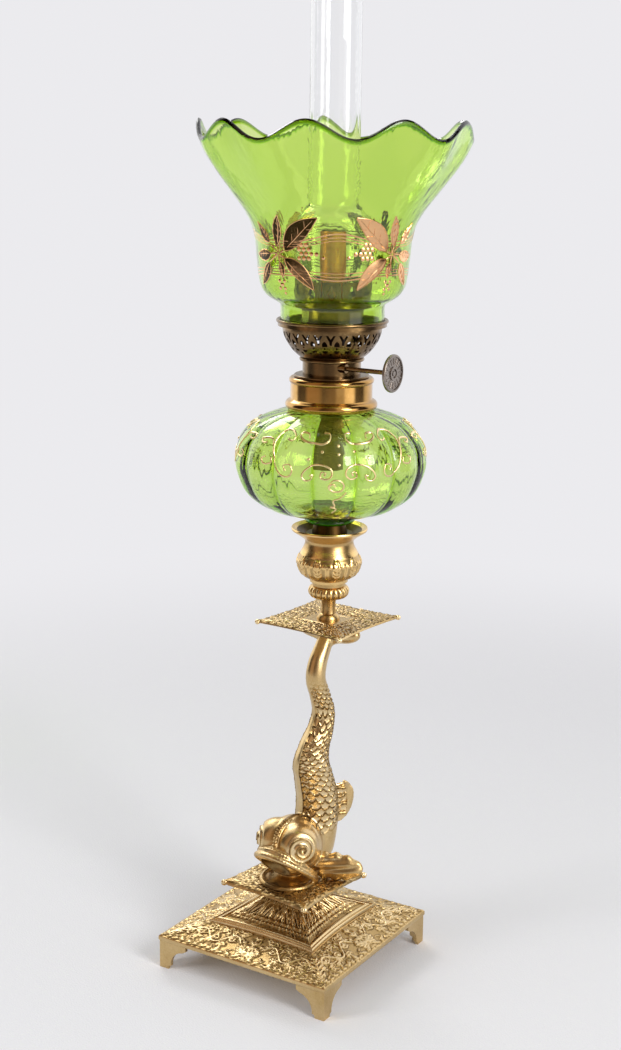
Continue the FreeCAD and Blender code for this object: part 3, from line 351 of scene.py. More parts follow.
class Relief:
    """Heights over a flat canvas, raised by round strokes.

    A stroke of radius r gives sqrt(r squared less the squared distance to its line), and where strokes
    cross the higher counts."""

    def __init__(self, low, high, pitch):
        self.low, self.pitch = np.array(low, float), pitch
        self.field = np.zeros([int((b - a) / pitch) + 2 for a, b in zip(low, high)])

    def draw(self, strokes):
        """Raise the strokes."""
        for stroke in strokes:
            for x, y, r in spaced(stroke, self.pitch):
                span = [np.arange(max(0, int((c - r - a) / self.pitch)),
                                  min(n, int((c + r - a) / self.pitch) + 2))
                        for c, a, n in zip((x, y), self.low, self.field.shape)]
                if len(span[0]) and len(span[1]):
                    dx = self.low[0] + span[0][:, None] * self.pitch - x
                    dy = self.low[1] + span[1][None] * self.pitch - y
                    part = self.field[span[0][0]:span[0][-1] + 1, span[1][0]:span[1][-1] + 1]
                    np.maximum(part, np.sqrt(np.clip(r * r - dx * dx - dy * dy, 0, None)), out=part)

    def tufts(self, number, long, thick, seed):
        """Short bent fronds thrown over the whole canvas."""
        low, high = self.low, self.low + np.array(self.field.shape) * self.pitch
        for x, y, turn, bend in np.random.default_rng(seed).random((number, 4)):
            root = low + (high - low) * (x, y)
            self.draw([frond(*root, turn * 2 * pi, long, 4 * bend - 2, thick, 8)])

    def crevices(self, x, y, reach):
        """0 to 1 where the ground lies close beside a stroke: the greatest height within the reach less
        the height there, in millimetres."""
        shift = int(reach / self.pitch)
        widest = self.field
        for axis in (0, 1):
            for step in (-shift, shift):
                widest = np.maximum(widest, np.roll(widest, step, axis))
        return np.clip((self.at(x, y, widest) - self.at(x, y)) * MM_PER_METRE, 0, 1)

    def at(self, x, y, field=None):
        """Height at places, a straight mix of the four canvas points round each; nothing off the canvas.

        Another field of the same canvas can be read in the same way."""
        f = self.field if field is None else field
        fx = np.asarray((x - self.low[0]) / self.pitch, float)
        fy = np.asarray((y - self.low[1]) / self.pitch, float)
        rows, columns = f.shape
        on = (fx >= 0) & (fy >= 0) & (fx < rows - 1) & (fy < columns - 1)
        i = np.clip(fx.astype(int), 0, rows - 2)
        j = np.clip(fy.astype(int), 0, columns - 2)
        u, v = np.clip(fx - i, 0, 1), np.clip(fy - j, 0, 1)
        near = f[i, j] * (1 - u) + f[i + 1, j] * u
        far = f[i, j + 1] * (1 - u) + f[i + 1, j + 1] * u
        return (near * (1 - v) + far * v) * on


# Meshes
def grid_quads(rows, around, ring=False):
    """Quads between the rows of a grid whose columns run round, and from its last row to its first in a
    ring."""
    index = np.arange(rows * around).reshape(rows, around)
    low = index if ring else index[:-1]
    high = np.roll(index, -1, 0) if ring else index[1:]
    return np.stack([low, np.roll(low, -1, 1), np.roll(high, -1, 1), high], -1).reshape(-1, 4)


def skin(points, tone=0.5, ring=False):
    """Closed surface from a grid of points: columns run round, rows run along.

    The first and last rows are closed by fans, or joined to each other in a ring. Faces point out: the
    sum of the tetrahedra to the middle is the volume, and where it is negative every face is turned."""
    rows, around = points.shape[:2]
    quads = grid_quads(rows, around, ring)
    flat = points.reshape(-1, 3)
    tones = np.broadcast_to(tone, (rows, around)).reshape(-1)
    triangles = np.zeros((0, 3), int)
    if not ring:
        first = np.arange(around)
        last = first + (rows - 1) * around
        poles = np.full((2, around), len(flat)) + np.array([[0], [1]])
        triangles = np.concatenate([np.stack([poles[0], np.roll(first, -1), first], -1),
                                    np.stack([poles[1], last, np.roll(last, -1)], -1)])
        flat = np.concatenate([flat, points[:1].mean(1), points[-1:].mean(1)])
        tones = np.concatenate([tones, tones[:1], tones[-1:]])
    a, b, c, d = (flat[quads[:, k]] for k in range(4))
    p, q, r = (flat[triangles[:, k]] for k in range(3))
    middle = flat.mean(0)
    volume = sum(float(((u - middle) * np.cross(v - middle, w - middle)).sum())
                 for u, v, w in ((a, b, c), (a, c, d), (p, q, r)))
    if volume < 0:
        quads, triangles = quads[:, ::-1], triangles[:, ::-1]
    return flat, quads, triangles, tones


def make_piece(name, skins, body, material, nodes=(), crease=40.0):
    """One object of closed skins, shaded smooth up to the crease angle, that rides on a body."""
    offsets = np.cumsum([0] + [len(part[0]) for part in skins])
    points = np.concatenate([part[0] for part in skins])
    quads = np.concatenate([part[1] + offset for part, offset in zip(skins, offsets)])
    triangles = np.concatenate([part[2] + offset for part, offset in zip(skins, offsets)])
    tones = np.concatenate([part[3] for part in skins])
    mesh = bpy.data.meshes.new(name)
    corners = np.concatenate([quads.ravel(), triangles.ravel()])
    starts = np.concatenate([np.arange(len(quads)) * 4, quads.size + np.arange(len(triangles)) * 3])
    mesh.vertices.add(len(points))
    mesh.vertices.foreach_set("co", points.astype(np.float32).ravel())
    mesh.loops.add(len(corners))
    mesh.loops.foreach_set("vertex_index", corners.astype(np.int32))
    mesh.polygons.add(len(starts))
    mesh.polygons.foreach_set("loop_start", starts.astype(np.int32))
    mesh.update(calc_edges=True)
    if mesh.validate():
        raise RuntimeError(f"the mesh of {name} isn't sound")
    mesh.attributes.new("tone", "FLOAT", "POINT").data.foreach_set("value", tones.astype(np.float32))
    mesh.shade_smooth()
    mesh.set_sharp_from_angle(angle=radians(crease))
    mesh.materials.append(material)
    obj = bpy.data.objects.new(name, mesh)
    bpy.context.scene.collection.objects.link(obj)
    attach(obj, body)
    if nodes:
        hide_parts(*nodes)
    return obj


def smoothed(node, material, crease=32.0, tone=0.6):
    """A merged, smooth-shaded copy of a node that stands for it.

    Points that share a place to a tenth of a micrometre become one."""
    cells_per_metre = 1e7
    source = frame["nodes"][node]
    mesh = source.data
    corners = np.empty(len(mesh.loops), np.int32)
    mesh.loops.foreach_get("vertex_index", corners)
    keys = np.round(node_points(node) * cells_per_metre).astype(np.int64)
    unique, inverse = np.unique(keys, axis=0, return_inverse=True)
    triangles = inverse.reshape(-1)[corners].reshape(-1, 3)
    a, b, c = triangles.T
    triangles = triangles[(a != b) & (b != c) & (c != a)]
    points = unique / cells_per_metre
    part = points, np.zeros((0, 4), int), triangles, np.full(len(points), tone)
    return make_piece(node + "_finish", [part], source["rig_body"], material, [node], crease)


def left_of(line):
    """Unit vectors in the plane, square to a line and on its left."""
    slope = np.gradient(line[:, :2], axis=0)
    left = np.stack([-slope[:, 1], slope[:, 0]], -1)
    return left / np.maximum(np.linalg.norm(left, axis=1, keepdims=True), 1e-9)


def ribbon(stroke, place, thick, sides=8, tone=0.7):
    """Closed strip along a stroke, laid on a surface by place(x, y, lift): its section is an ellipse as
    wide as the stroke's radius and as high as the thickness."""
    left = left_of(stroke)
    angles = ring_angles(sides)[None]
    out = stroke[:, 2:3] * np.cos(angles)
    lift = np.broadcast_to(thick * np.sin(angles), out.shape)
    x = stroke[:, 0:1] + left[:, :1] * out
    y = stroke[:, 1:2] + left[:, 1:] * out
    return skin(place(x, y, lift), tone)


def blade(x, y, tip_x, tip_y, half, notches=0):
    """Leaf-shaped stroke from a foot to a tip, swayed to its left, its half width a lifted sine with
    notches in its edge."""
    t = np.linspace(0, 1, 25)
    notch = 0.16 * np.abs(np.sin(pi * notches * t))
    wide = half * (0.04 + np.sin(pi * t ** 0.8) * (1 - notch))
    sway = 0.06 * np.sin(pi * t)
    long_x, long_y = tip_x - x, tip_y - y
    return np.stack([x + long_x * t - long_y * sway, y + long_y * t + long_x * sway, wide], -1)


def dot(x, y, r):
    """Round stroke: its radius along the way is that of a circle."""
    steps = 7
    t = np.linspace(-0.97, 0.97, steps)
    return np.stack([x + r * t, np.full(steps, y), r * np.sqrt(1 - t * t)], -1)


# Finishes
class Graph:
    """A material's nodes, added and joined by short calls."""

    def __init__(self, name):
        self.material = bpy.data.materials.new(name + "_finish")
        self.material.use_nodes = True
        self.tree = self.material.node_tree
        self.tree.nodes.clear()
        self.place = self.add("ShaderNodeTexCoord").outputs["Object"]

    def add(self, kind, inputs=None, **settings):
        """A node with its inputs joined to sockets or set to values."""
        node = self.tree.nodes.new(kind)
        for key, value in settings.items():
            setattr(node, key, value)
        for key, value in (inputs or {}).items():
            if isinstance(value, bpy.types.NodeSocket):
                self.tree.links.new(value, node.inputs[key])
            else:
                node.inputs[key].default_value = value
        return node

    def noise(self, scale, detail=3.0, stretch=None):
        """Noise on the object's coordinates, at a scale per metre, stretched if wanted."""
        place = self.place
        if stretch:
            place = self.add("ShaderNodeMapping", {"Vector": place, "Scale": stretch}).outputs[0]
        noise = self.add("ShaderNodeTexNoise", {"Vector": place, "Scale": scale, "Detail": detail})
        return noise.outputs["Fac"]

    def math(self, operation, a, b=0.0, c=0.0):
        """A sum of sockets or numbers."""
        return self.add("ShaderNodeMath", {0: a, 1: b, 2: c}, operation=operation).outputs[0]

    def ramp(self, value, stops):
        """Colour ramp with stops as place and colour."""
        node = self.add("ShaderNodeValToRGB", {"Fac": value})
        elements = node.color_ramp.elements
        while len(elements) < len(stops):
            elements.new(0.5)
        for element, (place, tint) in zip(elements, stops):
            element.position = place
            element.color = (*tint, 1)
        return node.outputs["Color"]

    def span(self, value, low, high, from_low=0.0, from_high=1.0):
        """The value mapped from one range to another."""
        return self.add("ShaderNodeMapRange", {
            "Value": value, "From Min": from_low, "From Max": from_high,
            "To Min": low, "To Max": high}).outputs[0]

    def bumped(self, height, distance, strength=1.0):
        """Normal of a height between 0 and 1, as deep as the distance."""
        return self.add("ShaderNodeBump", {
            "Height": height, "Distance": distance, "Strength": strength}).outputs[0]

    def finish(self, surface, volume=None):
        """Join the shader to the output."""
        output = self.add("ShaderNodeOutputMaterial", {"Surface": surface})
        if volume:
            self.tree.links.new(volume, output.inputs["Volume"])
        return self.material


def tinted(tint, factor):
    """A colour made darker or lighter by a factor."""
    return tuple(min(1.0, part * factor) for part in tint)


def brass(name, low, middle, high, gloss, grain, depth, patches=0.22, shadow_below_z=0.0):
    """Brass whose colour and gloss follow the tone of the relief, broken by patches of tarnish.

    Its colours go from low in the hollows to high on the ridges. Gloss is the ridges' roughness, grain
    the pits per metre and depth theirs in metres. Below the height given last, if any, it is dark: painted
    shade."""
    g = Graph(name)
    tone = g.add("ShaderNodeAttribute", attribute_name="tone").outputs["Fac"]
    # Painted shade: below the given height the tone falls to nothing
    if shadow_below_z:
        height = g.add("ShaderNodeSeparateXYZ", {0: g.place}).outputs["Z"]
        tone = g.math("MULTIPLY", tone, g.span(height, 0.0, 1.0, shadow_below_z - 0.004, shadow_below_z + 0.004))
    patch_scale, dull = 46.0, 0.26
    cloud = g.noise(patch_scale, 6.0)
    fine = g.noise(grain, 4.0)
    level = g.math("MULTIPLY_ADD", g.math("SUBTRACT", cloud, 0.5), patches * 2, tone)
    level = g.math("MULTIPLY_ADD", g.math("SUBTRACT", fine, 0.5), patches, level)
    tint = g.ramp(level, [(0.05, low), (0.5, middle), (0.95, high)])
    rough = g.span(level, gloss + dull, gloss)
    height = g.math("MULTIPLY_ADD", g.noise(grain * 3.1, 2.0), 0.4, fine)
    shader = g.add("ShaderNodeBsdfPrincipled", {
        "Base Color": tint, "Metallic": 1.0, "Roughness": rough, "Normal": g.bumped(height, depth)})
    return g.finish(shader.outputs[0])


def cast_brass(context):
    """Cast and chased brass of the candlestick."""
    m = context.scene.lamp_metal
    return brass("cast_brass", m.recess, m.middle, m.ridge, gloss=0.2, grain=1100.0, depth=0.00006)


def turned_brass(context):
    """Polished turned brass."""
    m = context.scene.lamp_metal
    return brass("turned_brass", tinted(m.collar, 0.3), m.collar, m.turned,
                 gloss=0.01, grain=260.0, depth=0.000004, patches=0.2)


def burner_brass(context):
    """Browned sheet brass of the burner, rubbed bright in places."""
    m = context.scene.lamp_metal
    return brass("burner_brass", tinted(m.burner, 0.3), m.burner, tinted(m.turned, 0.95),
                 gloss=0.07, grain=420.0, depth=0.00001, patches=0.42)


def knob_metal(context):
    """Grey-brown knob face."""
    m = context.scene.lamp_metal
    return brass("knob_metal", tinted(m.knob, 0.35), m.knob, tinted(m.knob, 1.7),
                 gloss=0.24, grain=700.0, depth=0.00003)


def tube_metal(context):
    """Copper-brown wick tube, with painted shade below the shade's foot, where it stands inside the burner.
    """
    m = context.scene.lamp_metal
    return brass("tube_metal", m.soot, m.tube, m.tube_edge,
                 gloss=0.3, grain=500.0, depth=0.00002, patches=0.4, shadow_below_z=SHADE_LOW.z)


def gilding(context):
    """Fired gilding on the glass; its darkest colour is painted shade on every other spray."""
    m = context.scene.lamp_metal
    return brass("gilding", m.gilding_worn, m.gilding, tinted(m.gilding, 1.4),
                 gloss=0.1, grain=1500.0, depth=0.00002, patches=0.3)


def raised_gilding(context):
    """Thick pale gilding of the font's scrolls."""
    m = context.scene.lamp_metal
    return brass("raised_gilding", tinted(m.scrolls, 0.5), m.scrolls, tinted(m.scrolls, 1.2),
                 gloss=0.2, grain=1500.0, depth=0.00002, patches=0.25)


def urn_brass(context):
    """Polished cast brass of the urn, stem and peg, dark where the tone is low: in the hollows of its
    leaves, round its neck, and as painted shade inside the cup and on the peg.
    """
    m = context.scene.lamp_metal
    return brass("urn_brass", m.recess, m.turned, tinted(m.turned, 1.08),
                 gloss=0.13, grain=800.0, depth=0.00002, patches=0.12)


def glass(name, tint, density, streak, ripple, smear):
    """Clear glass that takes its colour from the way through it, with drawn streaks and a little smear.
    Where the tone is over a half it is deeper in colour, and dark at a tone of one: this is painted shade.

    Light that only casts shadow passes straight through, a little weakened."""
    g = Graph(name)
    waves = g.noise(streak, 2.0, (1.0, 1.0, 0.12))
    tone = g.add("ShaderNodeAttribute", attribute_name="tone").outputs["Fac"]
    deep = tuple(part ** 3 for part in tint)
    # Painted shade: tones over a half deepen the glass's colour
    painted_glass_shade = g.ramp(tone, [(0.5, (1, 1, 1)), (0.8, deep), (1.0, tinted(deep, 0.3))])
    rough = g.span(g.noise(90.0, 4.0), 0.0, smear, 0.45, 0.8)
    shader = g.add("ShaderNodeBsdfPrincipled", {
        "Base Color": painted_glass_shade, "Transmission Weight": 1.0, "IOR": 1.5, "Roughness": rough,
        "Normal": g.bumped(waves, ripple)})
    clear = g.add("ShaderNodeBsdfTransparent", {"Color": (*(0.6 + 0.4 * np.array(tint)), 1)})
    shadow = g.add("ShaderNodeLightPath").outputs["Is Shadow Ray"]
    surface = g.add("ShaderNodeMixShader", {0: shadow, 1: shader.outputs[0], 2: clear.outputs[0]})
    volume = g.add("ShaderNodeVolumeAbsorption", {"Color": (*tint, 1), "Density": density})
    return g.finish(surface.outputs[0], volume.outputs[0])


def plaster(context):
    """Old plaster: pale, dull and grainy."""
    g = Graph("plaster")
    grain = g.noise(1400.0, 5.0)
    tint = g.ramp(grain, [(0.3, (0.42, 0.38, 0.31)), (0.7, (0.76, 0.73, 0.66))])
    shader = g.add("ShaderNodeBsdfPrincipled", {
        "Base Color": tint, "Roughness": 0.9, "Normal": g.bumped(grain, 0.0002)})
    return g.finish(shader.outputs[0])


def cotton(context):
    """Woven wick, brown from old oil."""
    g = Graph("cotton")
    weave = g.add("ShaderNodeTexWave", {"Vector": g.place, "Scale": 420.0, "Distortion": 1.5},
                  bands_direction="Z").outputs["Fac"]
    tint = g.ramp(weave, [(0.2, (0.055, 0.026, 0.010)), (0.8, (0.20, 0.115, 0.045))])
    shader = g.add("ShaderNodeBsdfPrincipled", {
        "Base Color": tint, "Roughness": 0.95, "Sheen Weight": 0.4, "Normal": g.bumped(weave, 0.0003)})
    return g.finish(shader.outputs[0])


def made(maker, context):
    """The finish of that name, made once; the frame's slots hold the names without the ending."""
    found = bpy.data.materials.get(maker.__name__ + "_finish")
    return found or maker(context)


# Stage
ROOM = (  # degrees to the right of the camera, colour of the room that the metal mirrors there
    (-180, (0.60, 0.60, 0.58)), (-150, (1.5, 1.5, 1.5)), (-114, (1.6, 1.6, 1.55)),
    (-107, (0.05, 0.035, 0.03)), (-80, (0.03, 0.02, 0.015)), (-70, (0.62, 0.42, 0.28)),
    (-36, (0.50, 0.34, 0.22)), (-24, (0.07, 0.045, 0.03)), (-4, (0.22, 0.15, 0.11)),
    (10, (0.28, 0.20, 0.15)), (16, (0.80, 0.70, 0.58)), (34, (0.85, 0.75, 0.65)),
    (41, (2.1, 2.0, 1.9)), (62, (2.3, 2.2, 2.1)), (72, (0.06, 0.04, 0.03)), (98, (0.03, 0.02, 0.015)),
    (107, (1.2, 1.2, 1.2)), (124, (1.5, 1.5, 1.55)), (152, (1.2, 1.2, 1.25)), (180, (0.60, 0.60, 0.58)))


def camera_axes(s):
    """Right, up and back directions of the camera from its yaw, pitch and roll."""
    forward = Vector((-sin(s.yaw) * cos(s.pitch), cos(s.yaw) * cos(s.pitch), sin(s.pitch)))
    right = forward.cross(Vector((0, 0, 1))).normalized()
    up = right.cross(forward)
    return right * cos(s.roll) + up * sin(s.roll), up * cos(s.roll) - right * sin(s.roll), -forward


def add_lamp(name, place, target, width, height, power, mirrored):
    """Soft square lamp that looks at a target, mirrored in metal and glass or not."""
    data = bpy.data.lights.new(name, "AREA")
    data.shape = "RECTANGLE"
    data.size, data.size_y, data.energy = width, height, power
    lamp = bpy.data.objects.new(name, data)
    lamp.location = place
    lamp.rotation_euler = (Vector(target) - Vector(place)).to_track_quat("-Z", "Y").to_euler()
    lamp.visible_glossy = mirrored
    bpy.context.scene.collection.objects.link(lamp)


def stage_mesh(name, points, material):
    """A stage surface from a grid of points whose columns run round, left open at its edge."""
    mesh = bpy.data.meshes.new(name)
    mesh.from_pydata(points.reshape(-1, 3).tolist(), [], grid_quads(*points.shape[:2]).tolist())
    mesh.materials.append(material)
    mesh.shade_smooth()
    obj = bpy.data.objects.new(name, mesh)
    bpy.context.scene.collection.objects.link(obj)
    return obj


def seen_rays(g):
    """1 for rays from the camera and for those that mirrors and glass send on."""
    path = g.add("ShaderNodeLightPath")
    seen = g.math("MAXIMUM", path.outputs["Is Camera Ray"], path.outputs["Is Glossy Ray"])
    return g.math("MAXIMUM", seen, path.outputs["Is Transmission Ray"])


class LAMP_OT_stage(bpy.types.Operator):
    """Set up the pale ground, the lamps and the camera"""
    bl_idname = "lamp.stage"
    bl_label = "Stage"

    def execute(self, context):
        s = context.scene.lamp_stage
        context.scene.view_settings.view_transform = "Standard"
        self.add_camera(context, s)
        self.add_floor(s)
        self.add_room(s)
        self.add_world(context, s)
        self.add_lamps(s)
        return {"FINISHED"}

    def add_camera(self, context, s):
        """Camera at the photograph's place."""
        data = bpy.data.cameras.new("camera")
        data.lens, data.sensor_width = s.lens, 36.0
        right, up, back = camera_axes(s)
        camera = bpy.data.objects.new("camera", data)
        turn = Matrix((right, up, back)).transposed().to_4x4()
        camera.matrix_world = Matrix.Translation((s.camera_x, s.camera_y, s.camera_z)) @ turn
        context.scene.collection.objects.link(camera)
        context.scene.camera = camera

    def add_floor(self, s):
        """Round floor that keeps shadows near the lamp and melts into the background further out."""
        g = Graph("floor")
        away = g.add("ShaderNodeVectorMath", {0: g.place}, operation="LENGTH").outputs["Value"]
        fade = g.add("ShaderNodeMapRange", {
            "Value": away, "From Min": s.floor_plain, "From Max": s.floor_plain * 2.2},
            interpolation_type="SMOOTHSTEP").outputs[0]
        weave = g.noise(900.0, 2.0)
        cloth = g.add("ShaderNodeBsdfDiffuse", {
            "Color": (*s.ground, 1), "Normal": g.bumped(weave, 0.0002)})
        plain = g.add("ShaderNodeEmission", {"Color": (*s.ground, 1)})
        mixed = g.add("ShaderNodeMixShader", {
            0: g.math("MULTIPLY", fade, seen_rays(g)), 1: cloth.outputs[0], 2: plain.outputs[0]})
        reach = np.array([[0.001, 0], [s.floor_plain, 0], [s.floor_r / 2, 0], [s.floor_r, 0]])
        stage_mesh("floor", turned(reach, ring_angles(96)), g.finish(mixed.outputs[0]))

    def add_room(self, s):
        """Wall and ceiling round the table, which only mirroring surfaces see.

        A ramp turns the way round the table into the room's colours, whose borders a noise breaks."""
        g = Graph("room_card")
        facing = g.add("ShaderNodeMapping", {"Vector": g.place, "Rotation": (0, 0, pi / 2 - s.yaw)})
        around = g.add("ShaderNodeTexGradient", {"Vector": facing.outputs[0]},
                       gradient_type="RADIAL").outputs["Fac"]
        cloud = g.math("MULTIPLY", g.math("SUBTRACT", g.noise(1.6, 3.0), 0.5), 0.035)
        stops = [(0.5 + turn / 360, tinted(glow, 1 / s.room_glow)) for turn, glow in ROOM]
        tint = g.ramp(g.math("ADD", around, cloud), stops)
        glow = g.add("ShaderNodeEmission", {"Color": tint, "Strength": s.room_glow})
        r = s.room_r
        outline = np.array([(r, 0.01), (r, r * 0.8), (r * 0.75, r * 1.2), (0.05, r * 1.3)])
        card = stage_mesh("room_card", turned(outline, ring_angles(96)), g.finish(glow.outputs[0]))
        for ray in ("camera", "transmission", "diffuse", "shadow"):
            setattr(card, "visible_" + ray, False)

    def add_world(self, context, s):
        """Even light from all round, and the ground's colour behind everything."""
        world = bpy.data.worlds.new("world")
        context.scene.world = world
        world.use_nodes = True
        nodes, links = world.node_tree.nodes, world.node_tree.links
        nodes.clear()
        path = nodes.new("ShaderNodeLightPath")
        seen = path.outputs["Is Camera Ray"]
        for ray in ("Is Glossy Ray", "Is Transmission Ray"):
            either = nodes.new("ShaderNodeMath")
            either.operation = "MAXIMUM"
            links.new(seen, either.inputs[0])
            links.new(path.outputs[ray], either.inputs[1])
            seen = either.outputs[0]
        light, plain = nodes.new("ShaderNodeBackground"), nodes.new("ShaderNodeBackground")
        light.inputs["Color"].default_value = (1, 1, 1, 1)
        light.inputs["Strength"].default_value = s.sky
        plain.inputs["Color"].default_value = (*s.ground, 1)
        mix, output = nodes.new("ShaderNodeMixShader"), nodes.new("ShaderNodeOutputWorld")
        links.new(seen, mix.inputs[0])
        links.new(light.outputs[0], mix.inputs[1])
        links.new(plain.outputs[0], mix.inputs[2])
        links.new(mix.outputs[0], output.inputs["Surface"])

    def add_lamps(self, s):
        """Two windows in front and a lamp behind, all soft."""
        right, _, back = camera_axes(s)
        aim = Vector((0, 0, 0.25))
        side, near = Vector((right.x, right.y, 0)), Vector((back.x, back.y, 0)).normalized()
        lamps = (  # name, way to the right, way to the camera, height, width, tallness, power, mirrored
            ("key", 1.0, 1.15, 1.0, 0.55, 0.9, s.key, True),
            ("fill", -1.35, 0.55, 0.6, 0.5, 1.1, s.fill, False),
            ("back", -0.5, -1.3, 1.3, 0.8, 0.5, s.back, True))
        for name, to_right, to_camera, up, width, tall, power, mirrored in lamps:
            place = side * to_right + near * to_camera + Vector((0, 0, up))
            add_lamp(name, place, aim, width, tall, power, mirrored)


# Fish, a block of clay
class Clay:
    """Distances to a surface on an even grid, shaped by adding and carving forms."""

    def __init__(self, low, high, pitch):
        self.low, self.pitch = np.asarray(low, float), pitch
        self.axes = [np.arange(a, b + pitch, pitch) for a, b in zip(low, high)]
        self.field = np.full([len(axis) for axis in self.axes], 1.0, np.float32)

    def shape(self, low, high, form, melt, carve=False):
        """Join a form to the clay inside a box, or carve it away, with a melted edge.

        The joined distance is the lesser of both, less a quarter of the melt times the square of how
        near they are."""
        spans = [slice(*np.searchsorted(axis, (a - melt * 2, b + melt * 2)))
                 for axis, a, b in zip(self.axes, low, high)]
        x, y, z = np.meshgrid(*[axis[span].astype(np.float32) for axis, span in zip(self.axes, spans)],
                              indexing="ij", sparse=True)
        new, old = form(x, y, z), self.field[tuple(spans)]
        sign = -1 if carve else 1
        near = np.clip(melt - np.abs(sign * old - new), 0, None) / melt
        joined = np.minimum(sign * old, new) - near * near * melt / 4
        self.field[tuple(spans)] = sign * joined

    def surface(self):
        """Points and quads where the distance is zero.

        A cell that the surface crosses gets one point, the mean of its crossed edges, and a crossed
        edge gets one quad of the four cells round it."""
        cells, places, flips = [], [], []
        shape = np.array(self.field.shape)
        for axis in range(3):
            near = [slice(None)] * 3
            far = [slice(None)] * 3
            near[axis], far[axis] = slice(0, -1), slice(1, None)
            a, b = self.field[tuple(near)], self.field[tuple(far)]
            found = np.argwhere((a < 0) != (b < 0))
            first, second = a[tuple(found.T)], b[tuple(found.T)]
            place = found.astype(float)
            place[:, axis] += first / (first - second)
            u, v = (axis + 1) % 3, (axis + 2) % 3
            corners = []
            for du, dv in ((0, 0), (1, 0), (1, 1), (0, 1)):
                cell = found.copy()
                cell[:, u] -= du
                cell[:, v] -= dv
                corners.append(np.ravel_multi_index(cell.T, shape))
            cells.append(np.stack(corners, -1))
            places.append(place)
            flips.append(first > 0)
        cells, places, flips = (np.concatenate(part) for part in (cells, places, flips))
        used, quads = np.unique(cells, return_inverse=True)
        quads = quads.reshape(-1, 4)
        owners = quads.ravel()
        shares = np.bincount(owners, minlength=len(used))
        points = np.stack([np.bincount(owners, np.repeat(places[:, k], 4), len(used)) / shares
                           for k in range(3)], -1)
        quads = np.where(flips[:, None], quads[:, ::-1], quads)
        return self.low + points * self.pitch, quads[:, ::-1]


def relaxed(points, quads, rounds):
    """Each point moved halfway to the mean of its neighbours, some rounds."""
    ends = np.concatenate([quads.ravel(), np.roll(quads, -1, 1).ravel()])
    starts = np.concatenate([np.roll(quads, -1, 1).ravel(), quads.ravel()])
    shares = np.bincount(ends, minlength=len(points))
    for _ in range(rounds):
        mean = np.stack([np.bincount(ends, points[starts, k], len(points)) / shares for k in range(3)], -1)
        points = (points + mean) / 2
    return points


def point_normals(points, quads):
    """Normals at the points: the sum of the crossed diagonals of the quads round each."""
    a, b, c, d = (points[quads[:, k]] for k in range(4))
    face = np.cross(c - a, d - b)
    normal = np.stack([np.bincount(quads.ravel(), np.repeat(face[:, k], 4), len(points))
                       for k in range(3)], -1)
    return normal / np.maximum(np.linalg.norm(normal, axis=1, keepdims=True), 1e-12)


def ball_form(middle, radii):
    """Distance to an ellipsoid: how far out it is in radii, over the slope of that."""
    def distance(x, y, z):
        parts = [(x - middle[0]) / radii[0], (y - middle[1]) / radii[1], (z - middle[2]) / radii[2]]
        out = np.sqrt(sum(part ** 2 for part in parts))
        slope = np.sqrt(sum((part / radius) ** 2 for part, radius in zip(parts, radii)))
        return out * (out - 1) / np.maximum(slope, 1e-6)
    return distance


def rope_form(path, radii):
    """Distance to a tube along a path: the least over its points of the way there less the radius."""
    def distance(x, y, z):
        best = None
        for (px, py, pz), radius in zip(path, radii):
            away = np.sqrt((x - px) ** 2 + (y - py) ** 2 + (z - pz) ** 2) - radius
            best = away if best is None else np.minimum(best, away)
        return best
    return distance


CHEEK = (0.0078, -0.0075, CUSHION_TOP + 0.0262)
MOUTH = (0, -0.0262, CUSHION_TOP + 0.0108), (0.0120, 0.0142, 0.0094)    # middle and radii
EYE_AXIS = (0.794, -0.601, 0.083)
FIN_BACK = 0.0223                                                       # root of the back fin


def body_line(girth):
    """Height, set-back and radius of the fish's body, as arrays close together."""
    path_shares = (  # height, set-back, radius
        (0.06, 0.52, 0.92), (0.10, 0.60, 1.00), (0.20, 0.70, 1.02), (0.30, 0.71, 0.98),
        (0.385, 0.60, 0.90), (0.45, 0.51, 0.84), (0.51, 0.60, 0.70), (0.575, 0.80, 0.60),
        (0.64, 0.885, 0.535), (0.71, 0.77, 0.49), (0.785, 0.62, 0.465), (0.85, 0.68, 0.44),
        (0.915, 0.87, 0.38), (0.96, 0.98, 0.345), (1.0, 1.0, 0.34))
    line = smooth_line(path_shares, 10)
    tall = DRIP_LOW.z - CUSHION_TOP
    return CUSHION_TOP + tall * line[:, 0], SET_BACK * line[:, 1], girth * line[:, 2]


def body_form(heights, backs, radii):
    """Distance to the S-shaped body: the flat distance to its middle line at that height, squeezed by
    the cosine of the line's slope, less the radius."""
    slope = np.gradient(backs, heights)

    def distance(x, y, z):
        flat = z.ravel()
        back, radius, lean = (np.interp(flat, heights, column)[None, None]
                              for column in (backs, radii, np.cos(np.arctan(slope))))
        across = np.sqrt(x ** 2 + ((y - back) * lean) ** 2) - radius
        return np.maximum(across, np.abs(z - (heights[0] + heights[-1]) / 2)
                          - (heights[-1] - heights[0]) / 2)
    return distance


def lip_path(front_rise, corner_rise, reach, half, corner_y):
    """Half ring from one corner of the mouth round its front to the other, on a round arc in plan."""
    steps = 40
    t = np.linspace(0, 1, steps + 1)
    plan = arc_points((-half, corner_y), (0, -reach), (half, corner_y), steps)
    front = np.sin(pi * t) ** 1.2
    height = CUSHION_TOP + corner_rise + (front_rise - corner_rise) * front
    return np.concatenate([plan, height[:, None]], 1)


